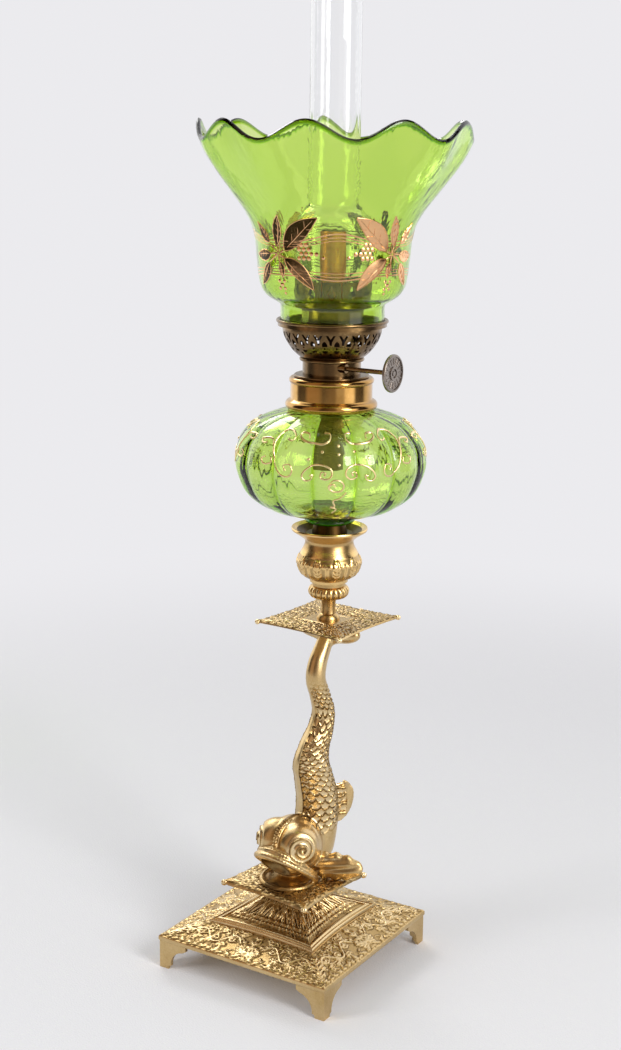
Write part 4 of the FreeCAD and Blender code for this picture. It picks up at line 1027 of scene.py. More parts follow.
def scale_rise(around, along, width, step):
    """Height and tone of overlapping round scales: discs in staggered rows, each rising to its free edge,
    with a painted shadow, a dark line beside it on the scale that it lies over."""
    height, tone = np.zeros_like(around), np.zeros_like(around)
    row = np.floor(along / step)
    # Painted shadow: reach and tone of the dark line just past each scale's edge
    shadow_out, shadow_tone = 1.4, 0.12
    for back in (1, 0, -1):
        this = row + back
        shift = 0.5 * (this % 2)
        column = np.round(around / width - shift)
        u = (around - (column + shift) * width) / (width * 0.56)
        v = (along - this * step) / (step * 1.25)
        out = u ** 2 + v ** 2
        dome = np.clip(0.25 + 0.75 * v, 0.1, 1)
        tone = np.where(out < 1, 0.42 + 0.58 * dome, np.where(out < shadow_out, shadow_tone, tone))
        height = np.where(out < 1, dome, np.where(out < shadow_out, 0.0, height))
    return height, tone


def fin_form(side, root, long, width, thick, sweep, tilt):
    """Distance to a wrinkled paddle: an ellipsoid, swept back and tilted, with waves along it."""
    out = np.array([cos(sweep) * side, sin(sweep), 0.0])
    up = np.array([0.0, -sin(tilt), cos(tilt)])
    up -= out * (up @ out)
    up /= np.linalg.norm(up)
    flat = np.cross(out, up)
    wrinkle_deep, wrinkles = 0.0005, 3.2
    notch_deep, notches = 0.0007, 5

    def distance(x, y, z):
        dx, dy, dz = x - root[0], y - root[1], z - root[2]
        along = dx * out[0] + dy * out[1] + dz * out[2] - long / 2
        high = dx * up[0] + dy * up[1] + dz * up[2] - width / 2
        across = dx * flat[0] + dy * flat[1] + dz * flat[2]
        wrinkle = wrinkle_deep * np.sin((high * wrinkles - along * 0.5) / width * 2 * pi)
        edge = notch_deep * np.sin(along / long * 2 * pi * notches)
        u, v = along / (long / 2), high / (width / 2 + edge)
        w = across / (thick / 2 + wrinkle)
        return (np.sqrt(u ** 2 + v ** 2 + w ** 2) - 1) * thick * 0.5
    return distance


class LAMP_OT_fish(bpy.types.Operator):
    """Model the cast fish with its cheeks, lips, fins and scales"""
    bl_idname = "lamp.fish"
    bl_label = "Fish"

    def execute(self, context):
        s = context.scene.lamp_fish
        low = (-0.047, -0.036, CUSHION_TOP - 0.003)
        high = (0.047, 0.068, DRIP_LOW.z + 0.003)
        clay = Clay(low, high, s.pitch)
        line = body_line(s.girth_r)
        self.add_head(clay, s.cheek_r)
        clay.shape((-0.02, -0.005, CUSHION_TOP + 0.008), (0.02, 0.05, DRIP_LOW.z), body_form(*line), 0.003)
        self.add_fins(clay)
        self.add_flukes(clay)
        self.cut_flat(clay)
        points, quads = clay.surface()
        points = relaxed(points, quads, 2)
        rise, tone = self.chasing(points, line, s)
        points = points + point_normals(points, quads) * rise[:, None]
        part = on_column(points), quads, np.zeros((0, 3), int), tone
        make_piece("fish", [part, self.screw()], "candlestick", made(cast_brass, context),
                   ["dolphin_column"], crease=60.0)
        return {"FINISHED"}

    def add_head(self, clay, cheek_r):
        """Skull, snout, cheeks, crest and lips, with the mouth carved out."""
        z = CUSHION_TOP
        box = (-0.03, -0.035, z - 0.004), (0.03, 0.03, z + 0.045)
        balls = (  # set-back and height of the middle, radii, melt: skull, upper and lower snout, throat
            (-0.001, 0.022, (0.0172, 0.0185, 0.0185), 0.002),
            (-0.0065, 0.0155, (0.0150, 0.0195, 0.0098), 0.004),
            (-0.0105, 0.0190, (0.0132, 0.0165, 0.0092), 0.003),
            (-0.006, 0.0, (0.0158, 0.0172, 0.0040), 0.002))
        for back, up, radii, melt in balls:
            clay.shape(*box, ball_form((0, back, z + up), radii), melt)
        for side in (-1, 1):
            clay.shape(*box, ball_form((side * CHEEK[0], *CHEEK[1:]), (cheek_r,) * 3), 0.0012)
        clay.shape(*box, ball_form(*MOUTH), 0.0015, True)
        lips = (  # rise at the front and at the corners, reach, half width, radius
            (0.0228, 0.0022, 0.0262, 0.0154, 0.0020), (0.0258, 0.0054, 0.0240, 0.0152, 0.0015),
            (0.0010, 0.0010, 0.0222, 0.0144, 0.0019))
        for front, corner, reach, half, radius in lips:
            path = lip_path(front, corner, reach, half, 0.0015)
            clay.shape(*box, rope_form(path, np.full(len(path), radius)), 0.0012)
        clay.shape(*box, self.crest(cheek_r), 0.0006)

    def crest(self, cheek_r):
        """Toothed disc between the cheeks, open below."""
        proud, tooth, teeth, half = 0.0009, 0.0007, 44, 0.0013

        def distance(x, y, z):
            back, up = y - CHEEK[1], z - CHEEK[2]
            reach = cheek_r + proud + tooth * np.cos(np.arctan2(up, back) * teeth)
            out = np.sqrt(back ** 2 + up ** 2) - reach
            return np.maximum(np.maximum(out, np.abs(x) - half), -0.004 - up)
        return distance

    def add_fins(self, clay):
        """Side fins and back fin."""
        z = CUSHION_TOP
        for side in (-1, 1):
            near_x, far_x = sorted((side * 0.004, side * 0.044))
            form = fin_form(side, (side * 0.0040, 0.0030, z + 0.0004), 0.038, 0.0170, 0.0088,
                            radians(23), radians(-10))
            clay.shape((near_x, -0.006, z - 0.003), (far_x, 0.036, z + 0.024), form, 0.0012)
        clay.shape((-0.006, 0.022, z + 0.018), (0.022, 0.062, z + 0.060), self.back_fin(), 0.0012)

    def add_flukes(self, clay):
        """Tail flukes, a tapered arm to each side under the drip plate."""
        wide, drop, thick = 0.021, 0.009, 0.0040
        shares = ((0, -1.5, 0.70), (0.35, -1.1, 0.80), (0.7, -0.74, 1.22), (0.93, -0.62, 0.95),
                  (1.0, -0.55, 0.5))  # way out, height, radius
        line = smooth_line(shares, 8)
        low = (-0.028, SET_BACK - 0.008, DRIP_LOW.z - 0.022)
        high = (0.028, SET_BACK + 0.008, DRIP_LOW.z + 0.002)
        for side in (-1, 1):
            path = np.stack([side * wide * line[:, 0], np.full(len(line), SET_BACK),
                             DRIP_LOW.z + drop * line[:, 1]], -1)
            clay.shape(low, high, rope_form(path, thick * line[:, 2]), 0.0016)

    def back_fin(self):
        """Leaf on the back, turned with the body: thin at its edge, thick along its ribs.

        In its own plane it is a rounded lozenge that leans 20 degrees."""
        middle, height = 0.0158, CUSHION_TOP + 0.0392
        long, wide = 0.0142, 0.0104
        lean_cos, lean_sin = 0.94, 0.34

        def distance(x, y, z):
            back = y - FIN_BACK
            along, up = x * sin(TWIST) + back * cos(TWIST) - middle, z - height
            reach = (along * lean_sin + up * lean_cos) / long
            across = (along * lean_cos - up * lean_sin) / wide
            out = np.sqrt(reach ** 2 + np.abs(across) ** 1.7) - 1
            rib = 0.0011 + 0.0004 * np.cos(across * pi * 3) * (np.abs(reach) < 1)
            return np.maximum(out * 0.0105, np.abs(x * cos(TWIST) - back * sin(TWIST)) - rib)
        return distance

    def cut_flat(self, clay):
        """Trim the clay at the cushion and under the drip plate."""
        z = clay.axes[2][None, None].astype(np.float32)
        clay.field = np.maximum(clay.field, np.maximum(CUSHION_TOP - z, z - DRIP_LOW.z))

    def chasing(self, points, line, s):
        """Rise of the scales, the back's beads and the eyes' spirals, and the tone of each place.

        Scales and beads are laid out by the way round the body and the way along its middle line."""
        heights, backs, radii = line
        x, y, z = points.T
        share_up = (z - CUSHION_TOP) / (DRIP_LOW.z - CUSHION_TOP)
        back = np.interp(z, heights, backs)
        angle = np.arctan2(x, y - back)
        radius = np.hypot(x, y - back)
        run = np.concatenate([[0], np.cumsum(np.hypot(np.diff(heights), np.diff(backs)))])
        lean = np.arctan(np.interp(z, heights, np.gradient(backs, heights)))
        along = np.interp(z, heights, run) + np.sin(lean) * (back - y)
        near = ramp(np.interp(z, heights, radii) * 1.5 + 0.0012 - radius, 0, 0.0008)
        around = angle * s.girth_r * 0.85
        scales, shade = scale_rise(around, 0.2 - along, s.scale_width, s.scale_length)
        belt = ramp(share_up, 0.15, 0.22) * (1 - ramp(share_up, 0.70, 0.80)) * near
        aside = np.abs((angle - TWIST) % (2 * pi) - pi)
        scaled = belt * ramp(aside, radians(19), radians(23))
        bead_step, bead_rise, strip_deep = 0.0042, 0.0009, 0.0005
        beads = bump((along / bead_step) % 1, 0.5, 0.42) * bump(angle, TWIST, radians(15))
        beads = beads * ramp(share_up, 0.30, 0.34) * (1 - ramp(share_up, 0.9, 0.95)) * near
        strip = bump(aside, radians(21), radians(4)) * ramp(share_up, 0.17, 0.25)
        strip = strip * (1 - ramp(share_up, 0.6, 0.7))
        plain = 0.62
        rise = s.scale_rise * scales * scaled + bead_rise * beads - strip_deep * strip
        tone = plain + scaled * (shade - plain) + 0.2 * beads - 0.5 * strip
        rise, tone = self.eye(points, rise, tone)
        tone = np.where(ball_form(*MOUTH)(x, y, z) < 0.0005, 0.3, tone)
        tone = tone * (0.45 + 0.55 * ramp(z - CUSHION_TOP, 0, 0.0035))
        return rise, np.clip(tone, 0, 1)

    def eye(self, points, rise, tone):
        """Raised spiral on each outer cheek: the turn about the eye's axis less the way out, in rings."""
        middle = np.array(CHEEK)
        off = np.stack([np.abs(points[:, 0]), points[:, 1], points[:, 2]], -1) - middle
        axis = np.array(EYE_AXIS) / np.linalg.norm(EYE_AXIS)
        first = np.cross(axis, (0, 0, 1))
        first /= np.linalg.norm(first)
        u, v, deep = off @ first, off @ np.cross(first, axis), off @ axis
        out = np.hypot(u, v)
        pitch, pupil_r, ring_rise, pupil_rise, sunk = 0.0038, 0.0017, 0.0011, 0.0012, 0.0003
        wind = (out / pitch + np.arctan2(v, u) / (2 * pi)) % 1
        ring = np.sin(pi * wind) ** 0.8 * (out > 0.0024)
        pupil = bump(out, 0, pupil_r)
        here = (deep > 0) * (1 - ramp(out, 0.0080, 0.0096)) * (points[:, 2] > CUSHION_TOP + 0.012)
        rise = rise + here * (np.maximum(ring_rise * ring, pupil_rise * pupil) - sunk)
        return rise, tone + here * (0.22 + 0.62 * np.maximum(ramp(ring, 0.2, 0.6), pupil) - tone)

    def screw(self):
        """The screw under the fish, which the nut holds."""
        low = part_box("dolphin_column")[0].z
        outline = np.array([(0.0023, low), (0.0025, low + 0.0003), (0.0025, CUSHION_TOP + 0.001)])
        return skin(on_column(turned(outline, ring_angles(32))))


# Glass
BELL_STEPS = 8
RUFFLES = 9
LOBES = 14
LOBE_DEEP = 0.0026


def bell_profile():
    """Radius, height and wave up the shade's bell, from the shade's box.

    Its first BELL_STEPS rows are the upright foot that stands in the gallery."""
    neck_r, neck_high = 0.0305, 0.0112
    rise = 0.0052
    bell_z = SHADE_LOW.z + neck_high
    bell_height = SHADE_HIGH.z - rise - bell_z
    rim_r = (SHADE_HIGH.x - SHADE_LOW.x) / 2 - 0.00001
    belly_r = rim_r * 0.56
    bell_shares = (  # height, way from the neck to the belly (1) and on to the rim (2), wave
        (0.0, 0.0, 0.0), (0.022, 0.12, 0.0), (0.06, 0.55, 0.0), (0.12, 0.84, 0.0), (0.24, 0.98, 0.0),
        (0.42, 1.05, 0.0), (0.53, 1.18, 0.05), (0.66, 1.44, 0.2), (0.78, 1.68, 0.42),
        (0.90, 1.88, 0.75), (1.0, 2.0, 1.0))
    rows = []
    for high, out, wave in bell_shares:
        first, second = min(out, 1), max(out - 1, 0)
        radius = neck_r + (belly_r - neck_r) * first + (rim_r - belly_r) * second
        rows.append((radius, bell_z + bell_height * high, wave * rise))
    foot = [(neck_r, SHADE_LOW.z, 0), (neck_r, SHADE_LOW.z + neck_high * 0.5, 0)]
    return smooth_line(foot + rows, BELL_STEPS)


class LAMP_OT_shade(bpy.types.Operator):
    """Model the ruffled green shade"""
    bl_idname = "lamp.shade"
    bl_label = "Shade"

    def execute(self, context):
        g = context.scene.lamp_glass
        material = glass("shade_glass", g.green, g.green_density, streak=160.0, ripple=0.0002, smear=0.05)
        wall = 0.0024
        line = bell_profile()
        inner = line.copy()
        inner[:, :2] += left_of(line) * wall
        inner[:2, 1] = line[:2, 1]
        lip = (line[-1] + inner[-1]) / 2 + np.array([0, wall * 0.42, 0])
        whole = np.concatenate([line, lip[None], inner[::-1]])
        angles = ring_angles(288)
        grid = turned(whole[:, :2], angles)
        grid[..., 2] += whole[:, 2:] * np.cos(RUFFLES * (angles - radians(10)))
        # Painted shade: the rows near the lip get a dark tone for the rim
        near_lip = np.abs(np.arange(len(whole)) - len(line))[:, None] < 3
        shell = skin(on_lamp(grid), np.where(near_lip, 0.95, 0.5), True)
        make_piece("shade_glass", [shell], "shade", material, ["shade"], crease=75.0)
        return {"FINISHED"}


def font_profile():
    """Radius, height and lobe up the outside of the font's bowl, from the font's box."""
    side_shares = (  # radius, height, lobe
        (0.24, 0.0, 0.0), (0.42, 0.022, 0.25), (0.68, 0.085, 0.6), (0.885, 0.225, 0.9),
        (0.985, 0.42, 1.0), (1.0, 0.56, 1.0), (0.955, 0.72, 0.95), (0.80, 0.875, 0.8),
        (0.58, 0.962, 0.45), (0.385, 1.0, 0.0))
    radius = (FONT_HIGH.x - FONT_LOW.x) / 2
    neck_high, high = 0.0105, 0.0642
    low = FONT_HIGH.z - neck_high - high
    rows = [(radius * r, low + high * h, lobe) for r, h, lobe in side_shares]
    return smooth_line(rows, 10)


def lobe_wave(angles):
    """1 on a lobe's crown and 0 in the valley between two: the root of the cosine's size."""
    first_crown = radians(-94.5 + 180 / LOBES)
    return np.sqrt(np.abs(np.cos(LOBES / 2 * (angles - first_crown))))


class LAMP_OT_font(bpy.types.Operator):
    """Model the lobed glass font with its foot and neck"""
    bl_idname = "lamp.font"
    bl_label = "Font"

    def execute(self, context):
        g = context.scene.lamp_glass
        material = glass("font_glass", g.font, g.font_density, streak=120.0, ripple=0.0003, smear=0.03)
        angles = ring_angles(448)
        bowl = font_profile()
        valley = 1 - lobe_wave(angles)[None]
        outside = turned(bowl[:, :2], angles, -LOBE_DEEP * bowl[:, 2:] * valley)
        wall, hollow_deep = 0.0030, 0.0014
        inner = bowl[::-1].copy()
        middle_z = (bowl[0, 1] + bowl[-1, 1]) / 2
        tall = (bowl[-1, 1] - bowl[0, 1]) / 2
        inner[:, 0] = np.maximum(inner[:, 0] - wall, 0.012)
        inner[:, 1] = middle_z + (inner[:, 1] - middle_z) * (tall - wall) / tall
        inside = turned(inner[:, :2], angles, -hollow_deep * inner[:, 2:] * valley)
        stub = self.stub(bowl[0, 1] - 0.005)
        grid = np.concatenate([turned(stub, angles), outside[1:],
                               turned(self.neck(bowl[-1, 1], inner[0, 1]), angles), inside[:-1]])
        tone = np.full(grid.shape[:2], 0.5)
        # Painted shade: the stub in the peg's cup is dark, and the valleys between the lobes are deeper
        # green
        tone[:len(stub)] = 0.95
        tone[len(stub):len(stub) + len(bowl) - 1] += 0.5 * bowl[1:, 2:] * valley ** 1.5
        make_piece("font_glass_body", [skin(on_lamp(grid), tone)], "font", material,
                   ["font_glass"], crease=60.0)
        return {"FINISHED"}

    def stub(self, foot_z):
        """Outline of the solid stub in the peg's cup and of the foot ring over it."""
        r, low = 0.0070, FONT_LOW.z
        return np.array([(r - 0.0004, low), (r, low + 0.0004), (r, foot_z), (0.0135, foot_z),
                         (0.0148, foot_z + 0.0008), (0.0151, foot_z + 0.0018),
                         (0.0145, foot_z + 0.0034), (0.0128, foot_z + 0.0046)])

    def neck(self, bowl_top, hollow_top):
        """Outline of the neck, up its outside, over its lip and down its bore."""
        r, bore, top = 0.021, 0.0176, FONT_HIGH.z
        return np.array([(r + 0.0006, bowl_top + 0.0002), (r, bowl_top + 0.0012), (r, top - 0.0006),
                         (r - 0.0008, top), (bore + 0.0006, top), (bore, top - 0.0006),
                         (bore, hollow_top + 0.001)])


class LAMP_OT_chimney(bpy.types.Operator):
    """Give the chimney its clear glass"""
    bl_idname = "lamp.chimney"
    bl_label = "Chimney"

    def execute(self, context):
        g = context.scene.lamp_glass
        material = glass("chimney_glass", g.clear, g.clear_density, streak=60.0, ripple=0.0001, smear=0.03)
        smoothed("chimney", material, crease=50.0, tone=0.5)
        return {"FINISHED"}


class LAMP_OT_burner(bpy.types.Operator):
    """Finish the collar, burner, knob and wick"""
    bl_idname = "lamp.burner"
    bl_label = "Burner"

    def execute(self, context):
        brown = ("burner_skirt", "burner_neck", "spindle_bush", "spindle_end_bearing", "air_plate",
                 "gallery_basket", "gallery_rim", "chimney_holder", "wick_spindle", "sprocket_wheels",
                 "knob_hub")
        finishes = (  # finish, slot, nodes, tone, crease
            (turned_brass, "turned_brass", ("font_collar",), 0.5, 32.0),
            (burner_brass, "burner_brass", brown, 0.42, 32.0),
            # The peg's low tone is painted shade: it stands down in the socket
            (urn_brass, "turned_brass", ("peg",), 0.02, 32.0),
            (knob_metal, "burner_brass", ("knob_disc",), 0.5, 30.0),
            (tube_metal, "burner_brass", ("outer_wick_tube", "inner_wick_tube"), 0.5, 32.0),
            (plaster, "plaster", ("peg_cement", "collar_cement"), 0.6, 32.0),
            (cotton, "cotton", ("wick",), 0.6, 32.0))
        for maker, slot, nodes, tone, crease in finishes:
            for node in nodes:
                smoothed(node, made(maker, context), crease, tone)
        return {"FINISHED"}


# Base and plates
def side_places(rows, number):
    """For each point of square rings: how far across its side it lies, and its half side."""
    half = np.asarray(rows, float)[:, 0, None]
    t = np.tile(np.linspace(-1, 1, number, endpoint=False), 4)[None]
    return half * np.abs(t), np.broadcast_to(half, (len(half), t.shape[1]))


def between(start, end, steps):
    """Rows on the straight way between two rows, without the first."""
    return [tuple(a + (b - a) * k / steps for a, b in zip(start, end)) for k in range(1, steps + 1)]


def field_relief():
    """Scrolls, leaves and an edge of small curls on the sloping field, for half a side.

    Across runs from the side's middle to its corner, and up runs from the edge inward."""
    relief = Relief((-0.001, -0.001), (0.062, 0.026), 0.00025)
    strokes = []
    for k in range(12):
        x = 0.0022 + 0.0047 * k
        strokes.append(curl(x, 0.0018, radians(70), 0.0012, 1, 0.00055))
        strokes.append(dot(x + 0.0026, 0.0022, 0.0007))
    strokes += leaf(0.0570, 0.0028, radians(135), 0.0250, 0.0062, 6, 0.0009)
    for heading, long in ((90, 0.0165), (52, 0.0120), (22, 0.0085)):
        bend = radians(90 - heading) * 0.4
        strokes += leaf(0.0004, 0.0045, radians(heading), long, 0.0036, 4, 0.0008, bend)
    way = np.linspace(0, 1, 60)
    stem_up = 0.0125 + 0.0042 * np.sin(way * 2 * pi * 1.5)
    strokes.append(np.stack([0.008 + 0.034 * way, stem_up, np.full(60, 0.0008)], -1))
    curls = (  # place, heading in degrees, size, turn
        (0.0135, 0.0165, 20, 0.0030, -1), (0.0245, 0.0085, -20, 0.0031, 1),
        (0.0360, 0.0160, 15, 0.0028, -1), (0.0430, 0.0085, -10, 0.0024, 1))
    for x, y, heading, size, turn in curls:
        strokes.append(curl(x, y, radians(heading), size, turn, 0.0009))
    leaves = (  # place, heading in degrees, length, bend in degrees
        (0.0105, 0.0145, 118, 0.0075, -50), (0.0190, 0.0155, 60, 0.0078, -70),
        (0.0165, 0.0100, -62, 0.0070, 60), (0.0275, 0.0100, -65, 0.0065, 70),
        (0.0300, 0.0135, 75, 0.0080, -60), (0.0390, 0.0150, 35, 0.0060, 40),
        (0.0345, 0.0105, -50, 0.0062, 50), (0.0480, 0.0095, -40, 0.0060, 60))
    for x, y, heading, long, bend in leaves:
        strokes += leaf(x, y, radians(heading), long, 0.0029, 3, 0.0007, radians(bend))
    for x in (0.006, 0.012, 0.018, 0.024, 0.030, 0.036):
        strokes.append(frond(x, 0.0205, radians(65), 0.0034, radians(-110), 0.0006))
    relief.draw(strokes)
    relief.tufts(170, 0.0042, 0.00062, seed=3)
    return relief


def mound_relief():
    """Leaves that run down the mound and end in curls, for half a side; up runs along the slope."""
    relief = Relief((-0.001, -0.001), (0.034, 0.030), 0.00025)
    strokes = []
    step = 0.0060
    for k in range(6):
        x, sway = 0.0004 + step * k, 0.9 * (-1) ** k
        strokes.append(frond(x, 0.0085, radians(90), 0.0150, sway, 0.0013, 16))
        strokes.append(frond(x + step / 2, 0.0070, radians(90), 0.0150, -sway, 0.0010, 14))
        for side in (-1, 1):
            strokes.append(curl(x + side * 0.0004, 0.0075, radians(-90), 0.0019, side, 0.0009))
            strokes.append(curl(x + step / 2, 0.0040, radians(-90), 0.0014, side, 0.0008))
            for up in (0.0115, 0.0150, 0.0185):
                strokes.append(frond(x, up, radians(90 - side * 55), 0.0030, side * radians(50), 0.0007, 6))
    relief.draw(strokes)
    relief.tufts(110, 0.0034, 0.0006, seed=5)
    return relief


def plate_relief(reach):
    """Leaves from the middle out to the tips and sides of a plate, over a grained ground."""
    relief = Relief((-0.001, -0.001), (reach + 0.001, reach + 0.001), 0.0003)
    grains = np.random.default_rng(7).random((520, 3))
    strokes = [dot(x * reach, y * reach, 0.0004 + 0.0005 * size) for x, y, size in grains]
    strokes += leaf(reach * 0.93, 0.0010, radians(135), reach * 0.62, reach * 0.17, 5, 0.0009)
    for place, heading in ((0.0, 90), (0.30, 80), (0.56, 100)):
        strokes += leaf(reach * place, 0.0020, radians(heading), reach * 0.34, reach * 0.13, 3, 0.0008)
    relief.draw(strokes)
    return relief


PLATE_HALF, PLATE_BOW = 0.0317, 0.0017
MOUND_HALF = 0.0318


class LAMP_OT_base(bpy.types.Operator):
    """Model the square base, its feet and the two square plates"""
    bl_idname = "lamp.base"
    bl_label = "Base"

    def execute(self, context):
        brass_made = made(cast_brass, context)
        self.add_casting(brass_made)
        self.add_cushion(brass_made)
        self.add_drip(brass_made)
        for node in ("foot_front_left", "foot_front_right", "foot_back_right", "foot_back_left",
                     "base_washer", "base_nut"):
            smoothed(node, brass_made)
        return {"FINISHED"}

    def add_casting(self, material):
        """Hollow casting with its edge, field, moulding and mound as one grid of square rings."""
        half, edge, wall, number = HALF_BASE, 0.00085, 0.0026, 150
        low, top = BASE_LOW.z, BASE_HIGH.z
        level = top - 0.023
        inner, bow, shoulder = 0.037, 0.0025, level + 0.0056
        rows = [(0.002, 0, top - 0.0111), (0.0141, 0, top - 0.0111), (inner - 0.0078, 0, top - 0.0187),
                (inner, 0, top - 0.0200), (half - wall, 0, level - wall), (half - wall, 0, low + 0.0001),
                (half - edge, 0, low), (half - 0.0002, 0, low + 0.0003), (half, 0, low + edge),
                (half, 0, level - edge), (half - 0.0003, 0, level - 0.0002)]
        field_low = len(rows)
        rows += between((half - edge, 0, level), (inner, bow, shoulder), 66)
        field_high = len(rows) - 2
        moulding = (  # way in, height
            (0.0, 0.0), (0.02, 0.45), (0.09, 0.78), (0.17, 0.86), (0.26, 0.72), (0.33, 0.36), (0.40, 0.42),
            (0.48, 0.82), (0.60, 1.0), (0.75, 1.08), (0.88, 1.0), (0.97, 0.72), (1.0, 0.35))
        rows += [(inner - 0.0052 * way, bow, shoulder + 0.0026 * up) for way, up in moulding]
        mound_low = len(rows)
        slope = smooth_line([(MOUND_HALF, bow, level + 0.0074), (0.0230, bow * 0.7, level + 0.0108),
                             (0.0154, bow * 0.5, level + 0.0168), (0.0115, bow * 0.33, top)], 16)
        rows += [tuple(row) for row in slope[1:]] + [(0.002, 0, top)]
        here = np.arange(len(rows))[:, None]
        on_field = (here >= field_low) & (here < field_high)
        on_mound = (here >= mound_low) & (here < len(rows) - 2)
        across, out = side_places(rows, number)
        field, mound = field_relief(), mound_relief()
        steps = np.diff(np.array(rows)[:, ::2], axis=0)
        run = np.concatenate([[0], np.cumsum(np.hypot(steps[:, 0], steps[:, 1]))])
        up = np.broadcast_to(run[:, None] - run[mound_low], across.shape)
        spread = across / np.maximum(out, 0.001) * MOUND_HALF
        rise = field.at(across, half - out) * on_field
        rise = rise + mound.at(spread, up) * on_mound * np.clip(out / 0.02, 0.3, 1)
        beside = 0.0007
        dark = np.where(on_mound, mound.crevices(spread, up, beside),
                        field.crevices(across, half - out, beside))
        tone = np.where(here < field_low, 0.62, 0.46 + rise / 0.0009 * 0.42 - 0.55 * dark)
        tone = np.where((here >= field_high) & (here < mound_low), 0.74, tone)
        tone = tone * np.where(here >= mound_low, 0.95, 1)
        grid = placed(raised(square_rings(rows, number), rise), BASE)
        make_piece("base_relief", [skin(grid, np.clip(tone, 0, 1))], "candlestick", material,
                   ["base_casting"], crease=42.0)

    def add_cushion(self, material):
        """Cushion that swells up from its seat, carved underneath too, with a tassel at each tip."""
        half, bow, low, top = PLATE_HALF, PLATE_BOW, CUSHION_SEAT, CUSHION_TOP
        rows = [(0.0115, 0.0008, low), (half * 0.62, bow * 0.62, low + 0.0018),
                (half * 0.86, bow * 0.86, low + 0.0040), (half, bow, top - 0.0018),
                (half * 0.99, bow, top - 0.0008), (half * 0.955, bow, top - 0.0002),
                (half * 0.93, bow, top), (0.012, bow * 0.5, top), (0.002, 0, top)]
        self.add_plate("cushion", material, BASE, rows, top - 0.0015, 0.0019, True)

    def add_drip(self, material):
        """Thin drip plate with a raised ring round the stem and a knob at each tip."""
        half, bow, thick = PLATE_HALF, PLATE_BOW, 0.0016
        low, top = DRIP_LOW.z, DRIP_LOW.z + thick
        rows = [(0.005, 0, low), (half * 0.96, bow, low), (half, bow, low + thick * 0.45),
                (half * 0.985, bow, low + thick * 0.9), (half * 0.965, bow, top), (0.0125, bow * 0.4, top),
                (0.0115, 0.0003, top + 0.0003), (0.0095, 0.0002, top + 0.0003), (0.0085, 0.0001, top),
                (0.002, 0, top)]
        self.add_plate("drip", material, LAMP, rows, low + thick / 2, 0.0016, False)

    def add_plate(self, name, material, middle, rows, tip_z, tip_r, carved_below):
        """A square plate as one grid of square rings with relief on top, and a knob at each tip."""
        number, half, plain_r, step = 84, PLATE_HALF, 0.013, 0.0006
        dense = [rows[0]]
        for before, after in zip(rows[:-1], rows[1:]):
            dense += between(before, after, max(1, int(abs(before[0] - after[0]) / step)))
        across, out = side_places(dense, number)
        relief = plate_relief(half)
        rise, dark = relief.at(across, half - out), relief.crevices(across, half - out, 0.0006)
        reach, here = np.array(dense)[:, 0], np.arange(len(dense))
        widest = int(np.argmax(reach))
        face = (here > widest + 1) & (reach > plain_r)
        if carved_below:
            face |= (here <= widest) & (reach > plain_r) & (reach < half * 0.95)
        rise = rise * face[:, None] * 0.8
        tone = np.where(face[:, None], 0.40 + rise / 0.0008 * 0.45 - 0.5 * dark, 0.6)
        grid = placed(raised(square_rings(dense, number), rise), middle, COLUMN_TURN)
        skins = [skin(grid, np.clip(tone, 0, 1))]
        tip = (half - 0.00095) * 2 ** 0.5
        for k in range(4):
            angle = COLUMN_TURN + pi / 4 + k * pi / 2
            skins.append(tassel((middle[0] + tip * cos(angle), middle[1] + tip * sin(angle), tip_z), tip_r))
        make_piece(name + "_relief", skins, "candlestick", material, [name + "_plate"],
                   crease=42.0)


def tassel(middle, radius):
    """Small ribbed ball: its radius swings with nine ribs."""
    ribs, rib_share = 9, 0.08
    polar = np.linspace(0, pi, 13)[1:-1]
    outline = np.stack([radius * np.sin(polar), middle[2] - radius * np.cos(polar)], -1)
    angles = ring_angles(54)
    grid = turned(outline, angles, rib_share * outline[:, :1] * np.cos(ribs * angles))
    return skin(placed(grid, middle), 0.85)


# Urn and knop
def urn_relief():
    """Half of one leaf with the curl and blade beside it, on a canvas that stands on the urn's foot."""
    relief = Relief((-0.001, -0.001), (0.0062, 0.016), 0.0002)
    strokes = leaf(0.0, 0.0006, radians(90), 0.0128, 0.0042, 5, 0.0008)
    strokes += [curl(0.0056, 0.0100, radians(100), 0.0015, 1, 0.0006),
                frond(0.0055, 0.0010, radians(96), 0.0088, radians(-8), 0.0007)]
    relief.draw(strokes)
    return relief


